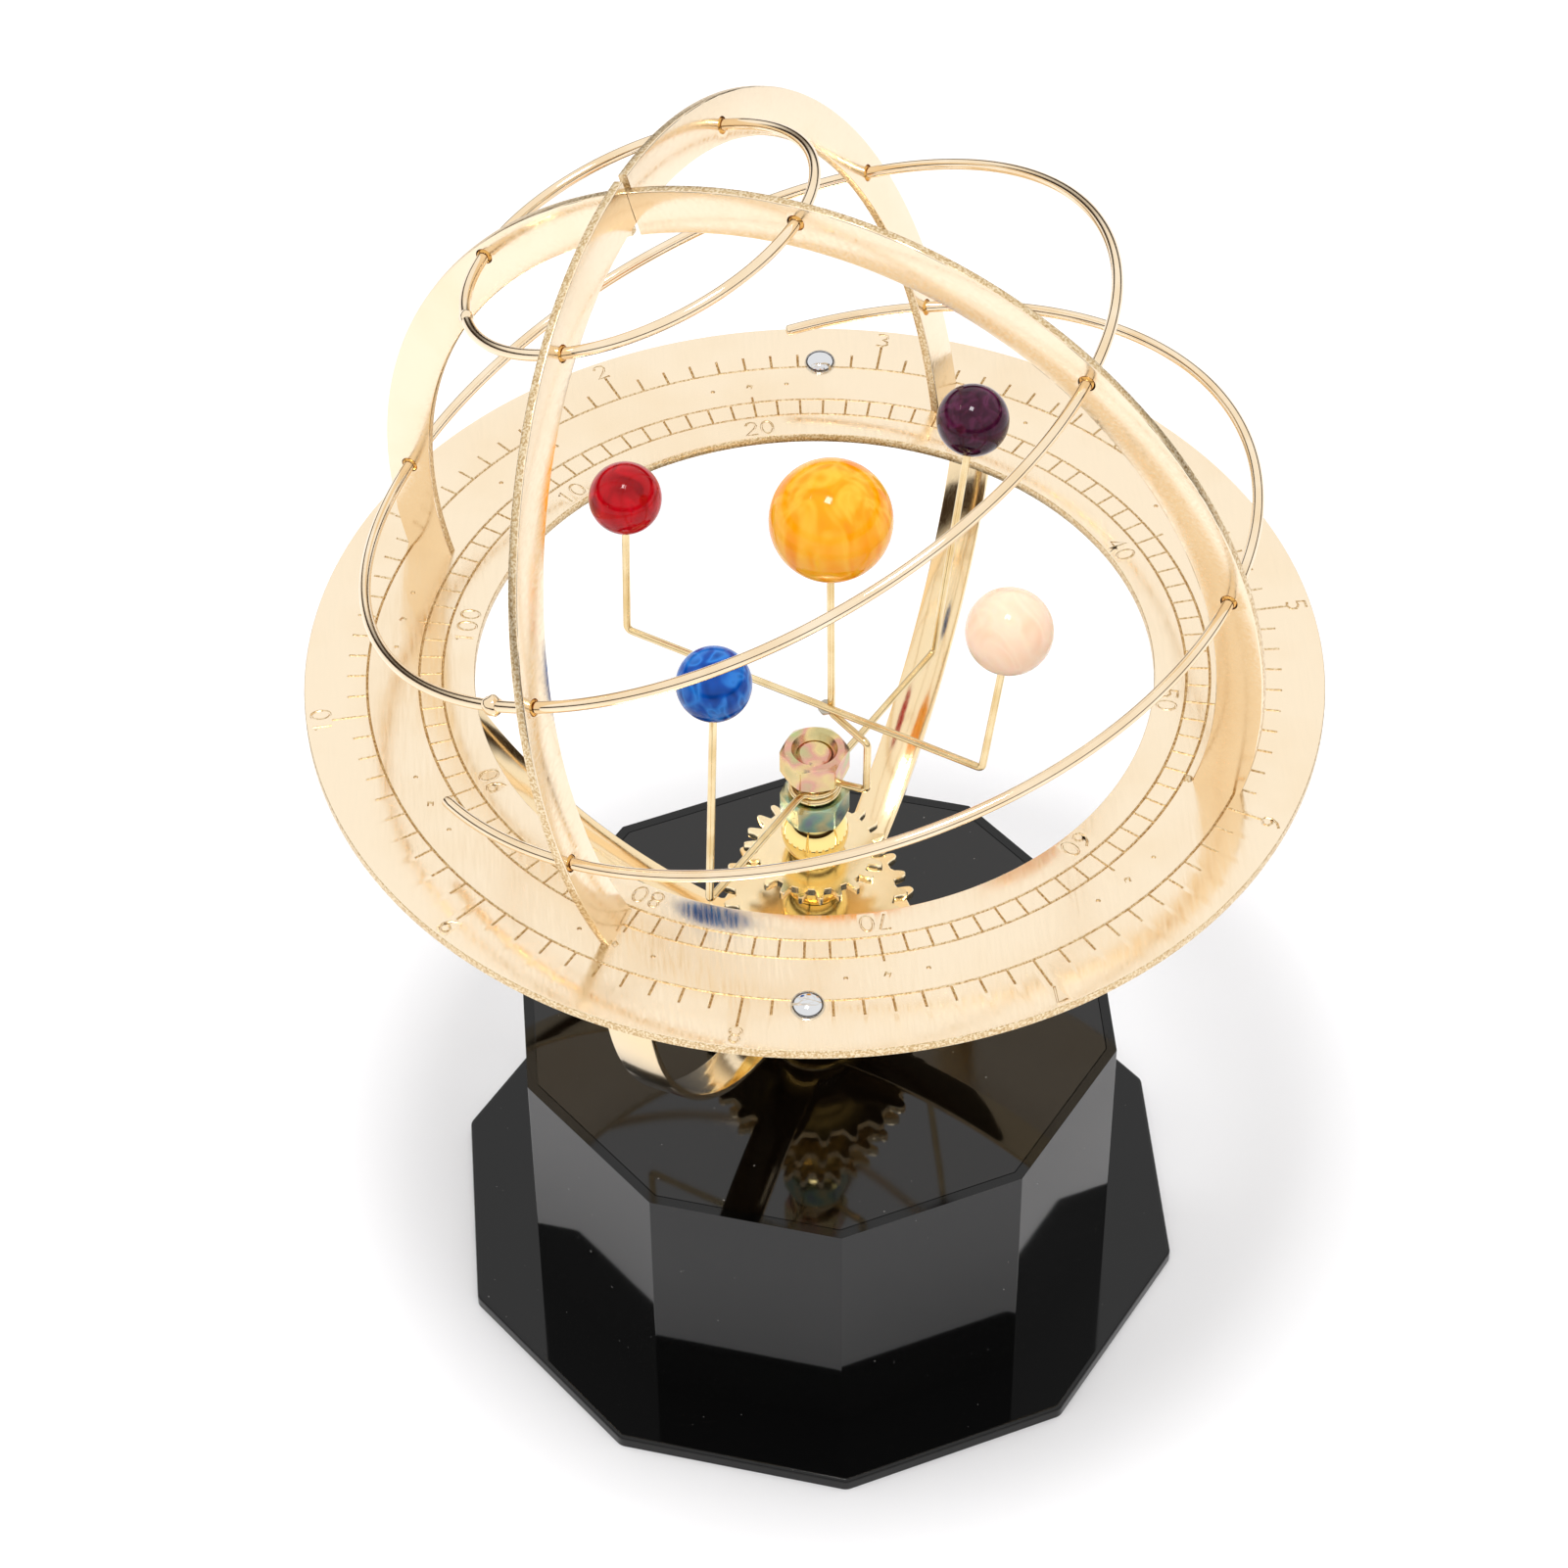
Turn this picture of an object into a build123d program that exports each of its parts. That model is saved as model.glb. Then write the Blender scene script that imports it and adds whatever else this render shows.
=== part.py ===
from build123d import *
import os
from math import acos, atan2, cos, degrees, hypot, radians, sin, sqrt

os.makedirs("parts", exist_ok=True)

# Orrery ornament: five glass balls on bent wires turn on a central spindle,
# inside an armillary cage that stands on a hollow ten-sided base.
# Millimetres, +Z up, the origin on the floor under the spindle.

# Base box
base_sides = 10
base_height = 53.4
box_radius = 52.0               # over the corners
flange_radius = 63.9            # over the corners, before rounding
flange_height = 2.4
flange_corner = 2.2
flange_edge = 0.7
box_edge = 0.35
shell_wall = 2.4
roof_thickness = 2.2
top_plate_thickness = 2.0
top_rim = 1.7                   # width of the rim that stands round the top plate
plate_gap = 0.15
floor_relief = 0.6              # the bottom cover lies this far above the floor
cover_thickness = 2.0
boss_count = 5
boss_radius = 3.2
boss_inset = 2.9                # from the inner corner of the shell to the boss axis
screw_radius = 1.25
screw_head_radius = 2.5
screw_head_height = 1.2
screw_grip = 9.0
screw_gap = 0.05

# Spindle and the fixed bush that it turns in
rod_radius = 3.0
rod_chamfer = 0.5
rod_recess = 0.8                # the rod ends this far below the top of the upper nut
rod_tail = 1.0                  # and this far below the retaining nut
running_gap = 0.05
axial_gap = 0.3
seat_gap = 0.05
bush_wall = 1.45
bush_flange_radius = 8.0
bush_flange_height = 1.6
bush_rim_radius = 6.4
bush_rim_height = 1.2
collar_height = 10.4
collar_radius = 9.2
collar_neck = 6.6
collar_waist_share = 0.3        # of the collar height, where the straight side ends
washer_radius = 6.4
retainer_washer_height = 1.0
thrust_washer_height = 1.0

# Stack on the spindle, from the large gear up to the upper nut
gear_teeth = 22
gear_thickness = 1.6
tooth_depth = 2.1
tooth_root_share = 0.62         # of one pitch, at the root circle
tooth_tip_share = 0.24          # of one pitch, at the tip circle
large_gear_radius = 18.8
middle_gear_radius = 15.35
small_gear_radius = 11.7
bead_height = 8.5
bead_radius = 5.5
bead_end_radius = 4.1
nut_flats = 10.0
nut_height = 5.0
nut_chamfer = 0.7

# Cage: crossed strips below, the scale ring, two arches and three wire rings
strip_width = 7.0
strip_thickness = 1.1
strip_inset = 5.4               # from the ring's rim to the inner face of a strip's curve
strip_rise = 7.7                # centre of the lowest strip's curve above the ring's underside
strip_yaw = 63.5                # degrees from +X
strip_foot = 9.0                # length bent flat under the ring
strip_eye = 7.4                 # radius of the round pad where the bush passes
ring_outer = 80.0
ring_band = 26.7
ring_thickness = 1.7
pin_hole_radius = 0.8
pin_hole_inset = 17.4           # from the rim to the hole's axis
pin_hole_yaw = -28.53
rivet_inset = 8.8               # from the rim to a rivet's axis
rivet_yaw = 84.6
rivet_shank = 1.2
rivet_head_radius = 2.6
rivet_head_height = 1.6
rivet_tail_radius = 2.0
rivet_tail_height = 0.8

arch_width = 7.5
arch_thickness = 1.5
arch_yaw = 152.0                # plane of the upright arch, and the way the other leans
upright_inset = 10.4            # from the ring's rim to the middle of the band
upright_rise = 18.2             # centre above the ring
leaning_inset = 2.3             # radius, less than the upright arch's
leaning_lift = 1.7              # centre along the lean, more than the upright arch's rise
lean_angle = 16.3
lean_reach = 5.0                # foot chord from the spindle axis
lean_shift = 1.6                # centre along the foot chord
tab_width = 3.2
tab_gap = 0.05
slot_gap = 0.06

wire_radius = 0.9
wire_hole_radius = 1.35
joint_gap = 0.5                 # open butt joint of a closed wire ring
# A ring's low and high ends lie in the plane of the upright arch: their angles count round
# the arch's centre, and "out" is outward from the middle of its band. The first and swept
# angles count from the ring's level diameter.
wire_rings = {
    "small_wire_ring": dict(
        low_angle=41.59,
        low_out=1.84,
        high_angle=88.07,
        high_out=0.82,
        yaw=153.3,
        first_angle=-54.1,
        swept_angle=360,
    ),
    "middle_wire_ring": dict(
        low_angle=-0.51,
        low_out=-0.3,
        high_angle=127.51,
        high_out=0.52,
        yaw=156.3,
        first_angle=-15.5,
        swept_angle=360,
    ),
    "open_wire_ring": dict(
        low_angle=-15.23,
        low_out=-2.34,
        high_angle=162.47,
        high_out=0.35,
        yaw=151.3,
        first_angle=-32.3,
        swept_angle=241.6,
    ),
}

# Planet arms: bent wires with an eye that the two nuts clamp
arm_wire = 0.62                 # wire radius
arm_bend = 1.7                  # centreline radius of a bend
eye_gap = 0.1                   # between the rod and an eye
eye_angle = 300.0
layer_gap = 0.25                # between two eyes, and under the lowest
sun_radius = 9.6
planet_radius = 5.8
moon_radius = 6.8
ball_bore_depth = 4.0
crank_reach = 10.2
crank_yaw = 326.5
bar_rise = 14.25                # cross bar above the upper eye
crank_rise = 12.15              # top of the crank above the upper eye
bar_yaw = 146.4
bar_side_reach = 1.0            # beside the spindle axis
red_reach = 35.9
cream_reach = 30.1
solder_radius = 1.15
sun_reach = 2.846
sun_yaw = 18.43
sun_foot_reach = 2.527          # where its stem leaves the crank
sun_foot_yaw = 27.07
sun_rise = 58.5                 # ball centres above the lower nut
red_lean = (1.3, 0.3)
red_rise = 46.9
cream_lean = (2.9, 0.0)
cream_rise = 49.0
blue_elbow = (-19.1, -26.0)
blue_lean = (2.0, 0.2)
blue_rise = 51.5
purple_elbow = (22.4, 28.8)
purple_lean = (5.1, -0.4)
purple_rise = 52.5


# Radii that follow the scale ring's rim
ring_inner = ring_outer - ring_band
rivet_circle = ring_outer - rivet_inset
strip_radius = ring_outer - strip_inset
upright_radius = ring_outer - upright_inset
leaning_radius = upright_radius - leaning_inset
leaning_rise = upright_rise + leaning_lift


def strip_sag(reach):
    """How far a strip rises between its lowest point and a distance along it."""
    return strip_radius - sqrt(strip_radius**2 - reach**2)


# Levels that follow from the sizes
plate_low = base_height - top_plate_thickness
roof_low = plate_low - roof_thickness
cross_low = base_height + collar_height
upper_strip_low = cross_low + strip_thickness + strip_sag(strip_eye) + seat_gap
cross_high = upper_strip_low + strip_thickness + strip_sag(bush_rim_radius)
ring_low = cross_low + strip_thickness + strip_radius - strip_rise
ring_high = ring_low + ring_thickness
bush_high = cross_high + bush_rim_height
bush_low = roof_low - bush_flange_height
stack_low = bush_high + axial_gap
eye_step = 2 * arm_wire + layer_gap
clamp_height = 3 * eye_step

bush_bore = rod_radius + running_gap
bush_outer = bush_bore + bush_wall
seat_bore = rod_radius + seat_gap
cover_high = floor_relief + cover_thickness


# Helpers
def save(name, solid):
    solid.label = name
    export_step(solid, f"parts/{name}.step")
    return solid


def level(z):
    return Pos(0, 0, z)


def decagon(radius, height):
    return extrude(RegularPolygon(radius, base_sides, rotation=180 / base_sides), height)


def washer(outer, inner, height):
    return extrude(Circle(outer) - Circle(inner), height)


def polar(radius, yaw, z=0.0):
    return Vector(radius * cos(radians(yaw)), radius * sin(radians(yaw)), z)


# Base shell: a moulded decagonal box, open below, with a flange round its foot
def base_shell():
    flange = RegularPolygon(flange_radius, base_sides, rotation=180 / base_sides)
    flange = extrude(fillet(flange.vertices(), flange_corner), flange_height)
    flange = fillet(flange.faces().sort_by(Axis.Z)[-1].edges(), flange_edge)
    box = decagon(box_radius, base_height)
    box = fillet(box.edges().filter_by(Axis.Z), box_edge)
    shell = flange + box
    inner_radius = box_radius - shell_wall
    shell -= decagon(inner_radius, roof_low)
    shell -= level(plate_low) * decagon(box_radius - top_rim, top_plate_thickness)
    boss_circle = inner_radius - boss_inset
    for spot in PolarLocations(boss_circle, boss_count, start_angle=180 / base_sides):
        boss = spot * level(cover_high) * Cylinder(
            boss_radius, roof_low - cover_high, align=(Align.CENTER, Align.CENTER, Align.MIN)
        )
        shell += boss & decagon(box_radius - top_rim, base_height)
    for spot in PolarLocations(boss_circle, boss_count, start_angle=180 / base_sides):
        shell -= spot * level(cover_high) * Cylinder(
            screw_radius + screw_gap, screw_grip + 1, align=(Align.CENTER, Align.CENTER, Align.MIN)
        )
    shell -= level(roof_low) * Cylinder(
        bush_outer + seat_gap, roof_thickness, align=(Align.CENTER, Align.CENTER, Align.MIN)
    )
    return shell


def top_plate():
    plate = decagon(box_radius - top_rim - plate_gap, top_plate_thickness)
    plate -= Cylinder(bush_outer + seat_gap, 3 * top_plate_thickness)
    return level(plate_low) * plate


def bottom_cover():
    cover = decagon(box_radius - shell_wall - plate_gap, cover_thickness)
    boss_circle = box_radius - shell_wall - boss_inset
    for spot in PolarLocations(boss_circle, boss_count, start_angle=180 / base_sides):
        cover -= spot * Cylinder(screw_radius + screw_gap, 3 * cover_thickness)
        cover -= spot * Cylinder(screw_head_radius + screw_gap, 2 * screw_head_height)
    return level(floor_relief) * cover


def cover_screws():
    boss_circle = box_radius - shell_wall - boss_inset
    head = Cylinder(screw_head_radius, screw_head_height, align=(Align.CENTER, Align.CENTER, Align.MIN))
    shank = Cylinder(
        screw_radius, cover_thickness + screw_grip, align=(Align.CENTER, Align.CENTER, Align.MIN)
    )
    screw = level(floor_relief) * (head + shank)
    places = PolarLocations(boss_circle, boss_count, start_angle=180 / base_sides)
    return Compound(children=[spot * screw for spot in places])


# Fixed bush, its collar on the top plate, and the parts that hold the spindle down
def spindle_bush():
    tube = level(bush_low) * washer(bush_outer, bush_bore, bush_high - bush_low)
    flange = level(bush_low) * washer(bush_flange_radius, bush_bore, bush_flange_height)
    rim = level(cross_high) * washer(bush_rim_radius, bush_bore, bush_rim_height)
    return tube + flange + rim


def foot_collar():
    inner = bush_outer + seat_gap
    waist = collar_height * collar_waist_share
    with BuildPart() as collar:
        with BuildSketch(Plane.XZ):
            with BuildLine():
                Polyline(
                    (collar_neck, collar_height),
                    (inner, collar_height),
                    (inner, 0),
                    (collar_radius, 0),
                    (collar_radius, waist),
                )
                TangentArc(
                    (collar_radius, waist),
                    (collar_neck, collar_height),
                    tangent=(0, 1),
                )
            make_face()
        revolve(axis=Axis.Z)
    return level(base_height) * collar.part


def hex_nut(low):
    blank = extrude(RegularPolygon(nut_flats / 2, 6, major_radius=False), nut_height)
    corner = nut_flats / 2 / cos(radians(30))
    turned = Cylinder(corner, nut_height, align=(Align.CENTER, Align.CENTER, Align.MIN))
    blank &= chamfer(turned.edges().filter_by(GeomType.CIRCLE), nut_chamfer)
    return level(low) * (blank - Cylinder(seat_bore, 3 * nut_height))


def spacer_bead(low):
    half = bead_height / 2
    with BuildPart() as bead:
        with BuildSketch(Plane.XZ):
            with BuildLine():
                Polyline(
                    (bead_end_radius, half), (seat_bore, half), (seat_bore, -half), (bead_end_radius, -half)
                )
                ThreePointArc((bead_end_radius, -half), (bead_radius, 0), (bead_end_radius, half))
            make_face()
        revolve(axis=Axis.Z)
    return level(low + half) * bead.part


def gear(low, tip_radius):
    root = tip_radius - tooth_depth
    pitch = 360 / gear_teeth
    root_half = root * radians(pitch * tooth_root_share / 2)
    tip_half = tip_radius * radians(pitch * tooth_tip_share / 2)
    middle = root + tooth_depth * 0.6
    middle_half = root_half + (tip_half - root_half) * 0.48
    tooth = make_face(
        Polyline(
            (root - 0.5, root_half),
            (middle, middle_half),
            (tip_radius - tip_half * 0.5, tip_half),
            (tip_radius, tip_half * 0.45),
            (tip_radius, -tip_half * 0.45),
            (tip_radius - tip_half * 0.5, -tip_half),
            (middle, -middle_half),
            (root - 0.5, -root_half),
            close=True,
        )
    )
    outline = Circle(root) + [spot * tooth for spot in PolarLocations(0, gear_teeth)]
    return level(low) * extrude(outline - Circle(seat_bore), gear_thickness)


# Lower cage: two rolled strips that cross on the bush and end flat under the ring
def cage_strip(low, yaw):
    centre = low + strip_thickness + strip_radius
    outer = strip_radius + strip_thickness
    drop = centre - ring_low
    end_outer = sqrt(outer**2 - drop**2)
    wide = 4 * strip_eye
    roll = Cylinder(outer, wide) - Cylinder(strip_radius, 2 * wide)
    outline = Box(2 * outer, strip_width, 2 * centre, align=(Align.CENTER, Align.CENTER, Align.MIN))
    outline += Cylinder(strip_eye, centre, align=(Align.CENTER, Align.CENTER, Align.MIN))
    outline -= level(ring_low) * Box(
        4 * outer, wide, 2 * centre, align=(Align.CENTER, Align.CENTER, Align.MIN)
    )
    band = (level(centre) * Rot(90, 0, 0) * roll) & outline
    for side in (-1, 1):
        foot = Box(
            strip_foot, strip_width, strip_thickness, align=(Align.MAX, Align.CENTER, Align.MAX)
        )
        band += level(ring_low) * Rot(0, 0, 0 if side > 0 else 180) * Pos(end_outer, 0, 0) * foot
    band -= Cylinder(bush_outer + seat_gap, 2 * centre)
    return Rot(0, 0, yaw) * band


# Planes of the two arches: the upright one, and the one that leans along it
along = polar(1, arch_yaw)
across = polar(1, arch_yaw - 90)
upright_plane = Plane(origin=(0, 0, ring_high), x_dir=along, z_dir=along.cross(Vector(0, 0, 1)))
lean_up = Vector(0, 0, cos(radians(lean_angle))) + along * sin(radians(lean_angle))
leaning_plane = Plane(
    origin=Vector(0, 0, ring_high) + along * lean_reach, x_dir=across, z_dir=across.cross(lean_up)
)
upright_centre = (0, upright_rise)
leaning_centre = (lean_shift, leaning_rise)


def arch_reach(radius):
    """Distance along the leaning plane, from the ring up to the upright arch's circle."""
    b = lean_reach * sin(radians(lean_angle)) - upright_rise * cos(radians(lean_angle))
    return -b + sqrt(b**2 - lean_reach**2 - upright_rise**2 + radius**2)


def arch(plane, centre, radius):
    """A flat half ring on the scale ring, with a tab through the ring at each foot."""
    half = arch_width / 2
    ground = level(ring_high) * Box(
        4 * ring_outer, 4 * ring_outer, 4 * ring_outer, align=(Align.CENTER, Align.CENTER, Align.MIN)
    )
    band = plane * Pos(*centre) * Pos(0, 0, -arch_thickness / 2) * extrude(
        Circle(radius + half) - Circle(radius - half), arch_thickness
    )
    return (band & ground) + arch_tabs(plane, centre, radius, 0)


def arch_tabs(plane, centre, radius, gap):
    """The part of a narrower half ring that lies within the scale ring's thickness."""
    half = tab_width / 2 + gap
    thick = arch_thickness + 2 * gap
    tabs = plane * Pos(*centre) * Pos(0, 0, -thick / 2) * extrude(
        Circle(radius + half) - Circle(radius - half), thick
    )
    return tabs & level(ring_low) * Box(
        4 * ring_outer, 4 * ring_outer, ring_thickness, align=(Align.CENTER, Align.CENTER, Align.MIN)
    )


# Wire rings: each is a circle about a tilted axis, and passes through holes in the arches
def ring_circle(name):
    """Centre, radius and tilt of a wire ring, from its two ends in the upright arch's plane."""
    ring = wire_rings[name]
    low = polar(upright_radius + ring["low_out"], ring["low_angle"])
    high = polar(upright_radius + ring["high_out"], ring["high_angle"])
    middle = (low + high) / 2
    run = (low.X - high.X) / 2 / cos(radians(ring["yaw"] - arch_yaw))
    drop = (high.Y - low.Y) / 2
    centre = along * middle.X + Vector(0, 0, ring_high + upright_rise + middle.Y)
    return centre, hypot(run, drop), degrees(atan2(drop, run))


def ring_plane(name):
    centre, _, tilt = ring_circle(name)
    yaw = wire_rings[name]["yaw"]
    normal = polar(sin(radians(tilt)), yaw, cos(radians(tilt)))
    return Plane(origin=centre, x_dir=polar(1, yaw + 90), z_dir=normal)


def ring_sweep(name):
    swept = wire_rings[name]["swept_angle"]
    if swept < 360:
        return swept
    return 360 - degrees(joint_gap / ring_circle(name)[1])


def wire_ring(name):
    section = Plane.XZ * Pos(ring_circle(name)[1], 0) * Circle(wire_radius)
    start = Rot(0, 0, wire_rings[name]["first_angle"])
    return ring_plane(name) * start * revolve(section, Axis.Z, ring_sweep(name))


def ring_holes(name, plane):
    """Cutters where a wire ring passes through an arch's plane."""
    ring = ring_plane(name)
    radius = ring_circle(name)[1]
    local_normal = Vector(
        plane.z_dir.dot(ring.x_dir), plane.z_dir.dot(ring.y_dir), plane.z_dir.dot(ring.z_dir)
    )
    distance = (plane.origin - ring.origin).dot(plane.z_dir)
    flat = hypot(local_normal.X, local_normal.Y)
    facing = degrees(atan2(local_normal.Y, local_normal.X))
    swing = degrees(acos(distance / flat / radius))
    cutters = []
    for angle in (facing - swing, facing + swing):
        if (angle - wire_rings[name]["first_angle"]) % 360 <= ring_sweep(name):
            cutter = Rot(90, 0, 0) * Cylinder(wire_hole_radius, 8 * arch_thickness)
            cutters.append(ring * Rot(0, 0, angle) * Pos(radius, 0, 0) * cutter)
    return cutters


def cut_holes(band, plane):
    for name in wire_rings:
        for cutter in ring_holes(name, plane):
            band -= cutter
    return band


def upright_arch():
    band = cut_holes(arch(upright_plane, upright_centre, upright_radius), upright_plane)
    slot = Box(
        3 * arch_thickness,
        arch_width,
        arch_thickness + 2 * slot_gap,
        align=(Align.CENTER, Align.MAX, Align.CENTER),
    )
    return band - leaning_plane * Pos(0, slot_level(), 0) * slot


def leaning_arch():
    band = cut_holes(arch(leaning_plane, leaning_centre, leaning_radius), leaning_plane)
    slot = Box(
        arch_thickness + 2 * slot_gap,
        arch_width,
        3 * arch_thickness,
        align=(Align.CENTER, Align.MIN, Align.CENTER),
    )
    return band - leaning_plane * Pos(0, slot_level() - slot_gap, 0) * slot


def slot_level():
    """Middle of the overlap of the two bands, measured along the leaning plane."""
    top = arch_reach(upright_radius + arch_width / 2)
    chord = sqrt((leaning_radius - arch_width / 2) ** 2 - lean_shift**2)
    return (top + leaning_rise + chord) / 2


def scale_ring():
    ring = washer(ring_outer, ring_inner, ring_thickness)
    pin_hole = polar(ring_outer - pin_hole_inset, pin_hole_yaw)
    ring -= Pos(pin_hole) * Cylinder(pin_hole_radius, 3 * ring_thickness)
    for spot in PolarLocations(rivet_circle, 2, start_angle=rivet_yaw):
        ring -= spot * Cylinder(rivet_shank + seat_gap, 3 * ring_thickness)
    ring = level(ring_low) * ring
    ring -= arch_tabs(upright_plane, upright_centre, upright_radius, tab_gap)
    return ring - arch_tabs(leaning_plane, leaning_centre, leaning_radius, tab_gap)


def ring_rivet(index):
    dome_radius = (rivet_head_radius**2 + rivet_head_height**2) / 2 / rivet_head_height
    dome = level(rivet_head_height - dome_radius) * Sphere(dome_radius)
    dome &= Cylinder(dome_radius, 2 * dome_radius, align=(Align.CENTER, Align.CENTER, Align.MIN))
    shank = Cylinder(
        rivet_shank, ring_thickness + rivet_tail_height, align=(Align.CENTER, Align.CENTER, Align.MAX)
    )
    tail = level(-ring_thickness) * Cylinder(
        rivet_tail_radius, rivet_tail_height, align=(Align.CENTER, Align.CENTER, Align.MAX)
    )
    yaw = rivet_yaw + 180 * index
    return Pos(polar(rivet_circle, yaw, ring_high)) * (dome + shank + tail)


# Stack of the spindle, built upwards from the bush
large_gear_low = stack_low + thrust_washer_height
step = gear_thickness + bead_height
middle_gear_low = large_gear_low + step
small_gear_low = middle_gear_low + step
lower_nut_low = small_gear_low + step
clamp_low = lower_nut_low + nut_height
clamp_high = clamp_low + clamp_height
upper_nut_high = clamp_high + nut_height
retainer_washer_low = bush_low - axial_gap - retainer_washer_height
retainer_nut_low = retainer_washer_low - nut_height

purple_eye = clamp_low + layer_gap + arm_wire
blue_eye = purple_eye + eye_step
sun_eye = blue_eye + eye_step
eye_radius = rod_radius + eye_gap + arm_wire
bar_level = sun_eye + bar_rise
crank_level = sun_eye + crank_rise


def spindle_rod():
    low = retainer_nut_low - rod_tail
    rod = Cylinder(
        rod_radius, upper_nut_high - rod_recess - low, align=(Align.CENTER, Align.CENTER, Align.MIN)
    )
    return level(low) * chamfer(rod.edges().filter_by(GeomType.CIRCLE), rod_chamfer)


# Planet wires and balls
def bent_wire(points):
    path = FilletPolyline(*points, radius=arm_bend)
    return sweep(Plane(origin=path @ 0, z_dir=path % 0) * Circle(arm_wire), path=path)


def eye(z, yaw):
    """An open eye round the rod; it starts where the straight wire leaves it."""
    loop = revolve(Plane.XZ * Pos(eye_radius, 0) * Circle(arm_wire), Axis.Z, eye_angle)
    corner = Pos(eye_radius, 0, 0) * Sphere(arm_wire * 1.04)
    return level(z) * Rot(0, 0, yaw) * (loop + corner)


def ball_end(elbow, centre, radius):
    """Where the wire ends inside its ball, on the line from the elbow to the centre."""
    run = centre - elbow
    return centre - run.normalized() * (radius - ball_bore_depth)


def ball(elbow, centre, radius):
    run = (centre - elbow).normalized()
    bore = Cylinder(arm_wire + seat_gap, ball_bore_depth * 2)
    mouth = Plane(origin=centre - run * radius, z_dir=run)
    return Pos(centre) * Sphere(radius) - mouth * bore


def planet_arm(z, elbow, tip):
    yaw = degrees(atan2(elbow.Y, elbow.X))
    return eye(z, yaw) + bent_wire([polar(eye_radius, yaw, z), elbow, tip])


blue_corner = Vector(*blue_elbow, blue_eye)
blue_centre = Vector(blue_elbow[0] + blue_lean[0], blue_elbow[1] + blue_lean[1], clamp_low + blue_rise)
purple_corner = Vector(*purple_elbow, purple_eye)
purple_centre = Vector(
    purple_elbow[0] + purple_lean[0], purple_elbow[1] + purple_lean[1], clamp_low + purple_rise
)
bar_middle = polar(bar_side_reach, bar_yaw - 90, bar_level)
red_corner = bar_middle + polar(red_reach, bar_yaw)
cream_corner = bar_middle - polar(cream_reach, bar_yaw)
red_centre = Vector(red_corner.X + red_lean[0], red_corner.Y + red_lean[1], clamp_low + red_rise)
cream_centre = Vector(cream_corner.X + cream_lean[0], cream_corner.Y + cream_lean[1], clamp_low + cream_rise)
sun_corner = polar(sun_foot_reach, sun_foot_yaw, crank_level)
sun_centre = polar(sun_reach, sun_yaw, clamp_low + sun_rise)


def sun_wire():
    low = polar(crank_reach, crank_yaw, sun_eye)
    high = polar(crank_reach, crank_yaw, crank_level)
    end = ball_end(sun_corner, sun_centre, sun_radius)
    run = bent_wire([polar(eye_radius, crank_yaw, sun_eye), low, high, sun_corner, end])
    return eye(sun_eye, crank_yaw) + run


def cross_bar():
    red_end = ball_end(red_corner, red_centre, planet_radius)
    cream_end = ball_end(cream_corner, cream_centre, moon_radius)
    return bent_wire([red_end, red_corner, cream_corner, cream_end])


def solder_joint(bar, stem):
    share = (bar_level - sun_corner.Z) / (sun_centre.Z - sun_corner.Z)
    stem_point = sun_corner + (sun_centre - sun_corner) * share
    inward = polar(1, bar_yaw - 90)
    gap = (stem_point - bar_middle).dot(inward)
    blob = Pos(stem_point - inward * gap / 2) * Sphere(solder_radius)
    return blob - bar - stem


# Write every part
save("base_shell", base_shell())
save("top_plate", top_plate())
save("bottom_cover", bottom_cover())
save("cover_screws", cover_screws())
save("spindle_bush", spindle_bush())
save("foot_collar", foot_collar())
save("lower_strip", cage_strip(cross_low, strip_yaw + 90))
save("upper_strip", cage_strip(upper_strip_low, strip_yaw))
save("scale_ring", scale_ring())
save("rear_rivet", ring_rivet(0))
save("front_rivet", ring_rivet(1))
save("upright_arch", upright_arch())
save("leaning_arch", leaning_arch())
for ring_name in wire_rings:
    save(ring_name, wire_ring(ring_name))

save("spindle_rod", spindle_rod())
save("retaining_nut", hex_nut(retainer_nut_low))
retaining_washer = washer(washer_radius, seat_bore, retainer_washer_height)
save("retaining_washer", level(retainer_washer_low) * retaining_washer)
save("thrust_washer", level(stack_low) * washer(washer_radius, seat_bore, thrust_washer_height))
save("large_gear", gear(large_gear_low, large_gear_radius))
save("middle_gear", gear(middle_gear_low, middle_gear_radius))
save("small_gear", gear(small_gear_low, small_gear_radius))
save("lower_bead", spacer_bead(large_gear_low + gear_thickness))
save("middle_bead", spacer_bead(middle_gear_low + gear_thickness))
save("upper_bead", spacer_bead(small_gear_low + gear_thickness))
save("lower_nut", hex_nut(lower_nut_low))
save("upper_nut", hex_nut(clamp_high))

sun_stem = save("sun_wire", sun_wire())
bar_solid = save("cross_bar", cross_bar())
save("solder_joint", solder_joint(bar_solid, sun_stem))
save("blue_arm", planet_arm(blue_eye, blue_corner, ball_end(blue_corner, blue_centre, planet_radius)))
save(
    "purple_arm",
    planet_arm(purple_eye, purple_corner, ball_end(purple_corner, purple_centre, planet_radius)),
)
save("sun_ball", ball(sun_corner, sun_centre, sun_radius))
save("red_ball", ball(red_corner, red_centre, planet_radius))
save("cream_ball", ball(cream_corner, cream_centre, moon_radius))
save("blue_ball", ball(blue_corner, blue_centre, planet_radius))
save("purple_ball", ball(purple_corner, purple_centre, planet_radius))
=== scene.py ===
# Desk orrery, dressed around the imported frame.
# Sizes in the dictionaries are millimetres and degrees; meshes are made in metres.
from math import acos, asin, atan2, cos, degrees, hypot, pi, radians, sin, sqrt

import bpy
from mathutils import Matrix, Vector, noise


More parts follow.
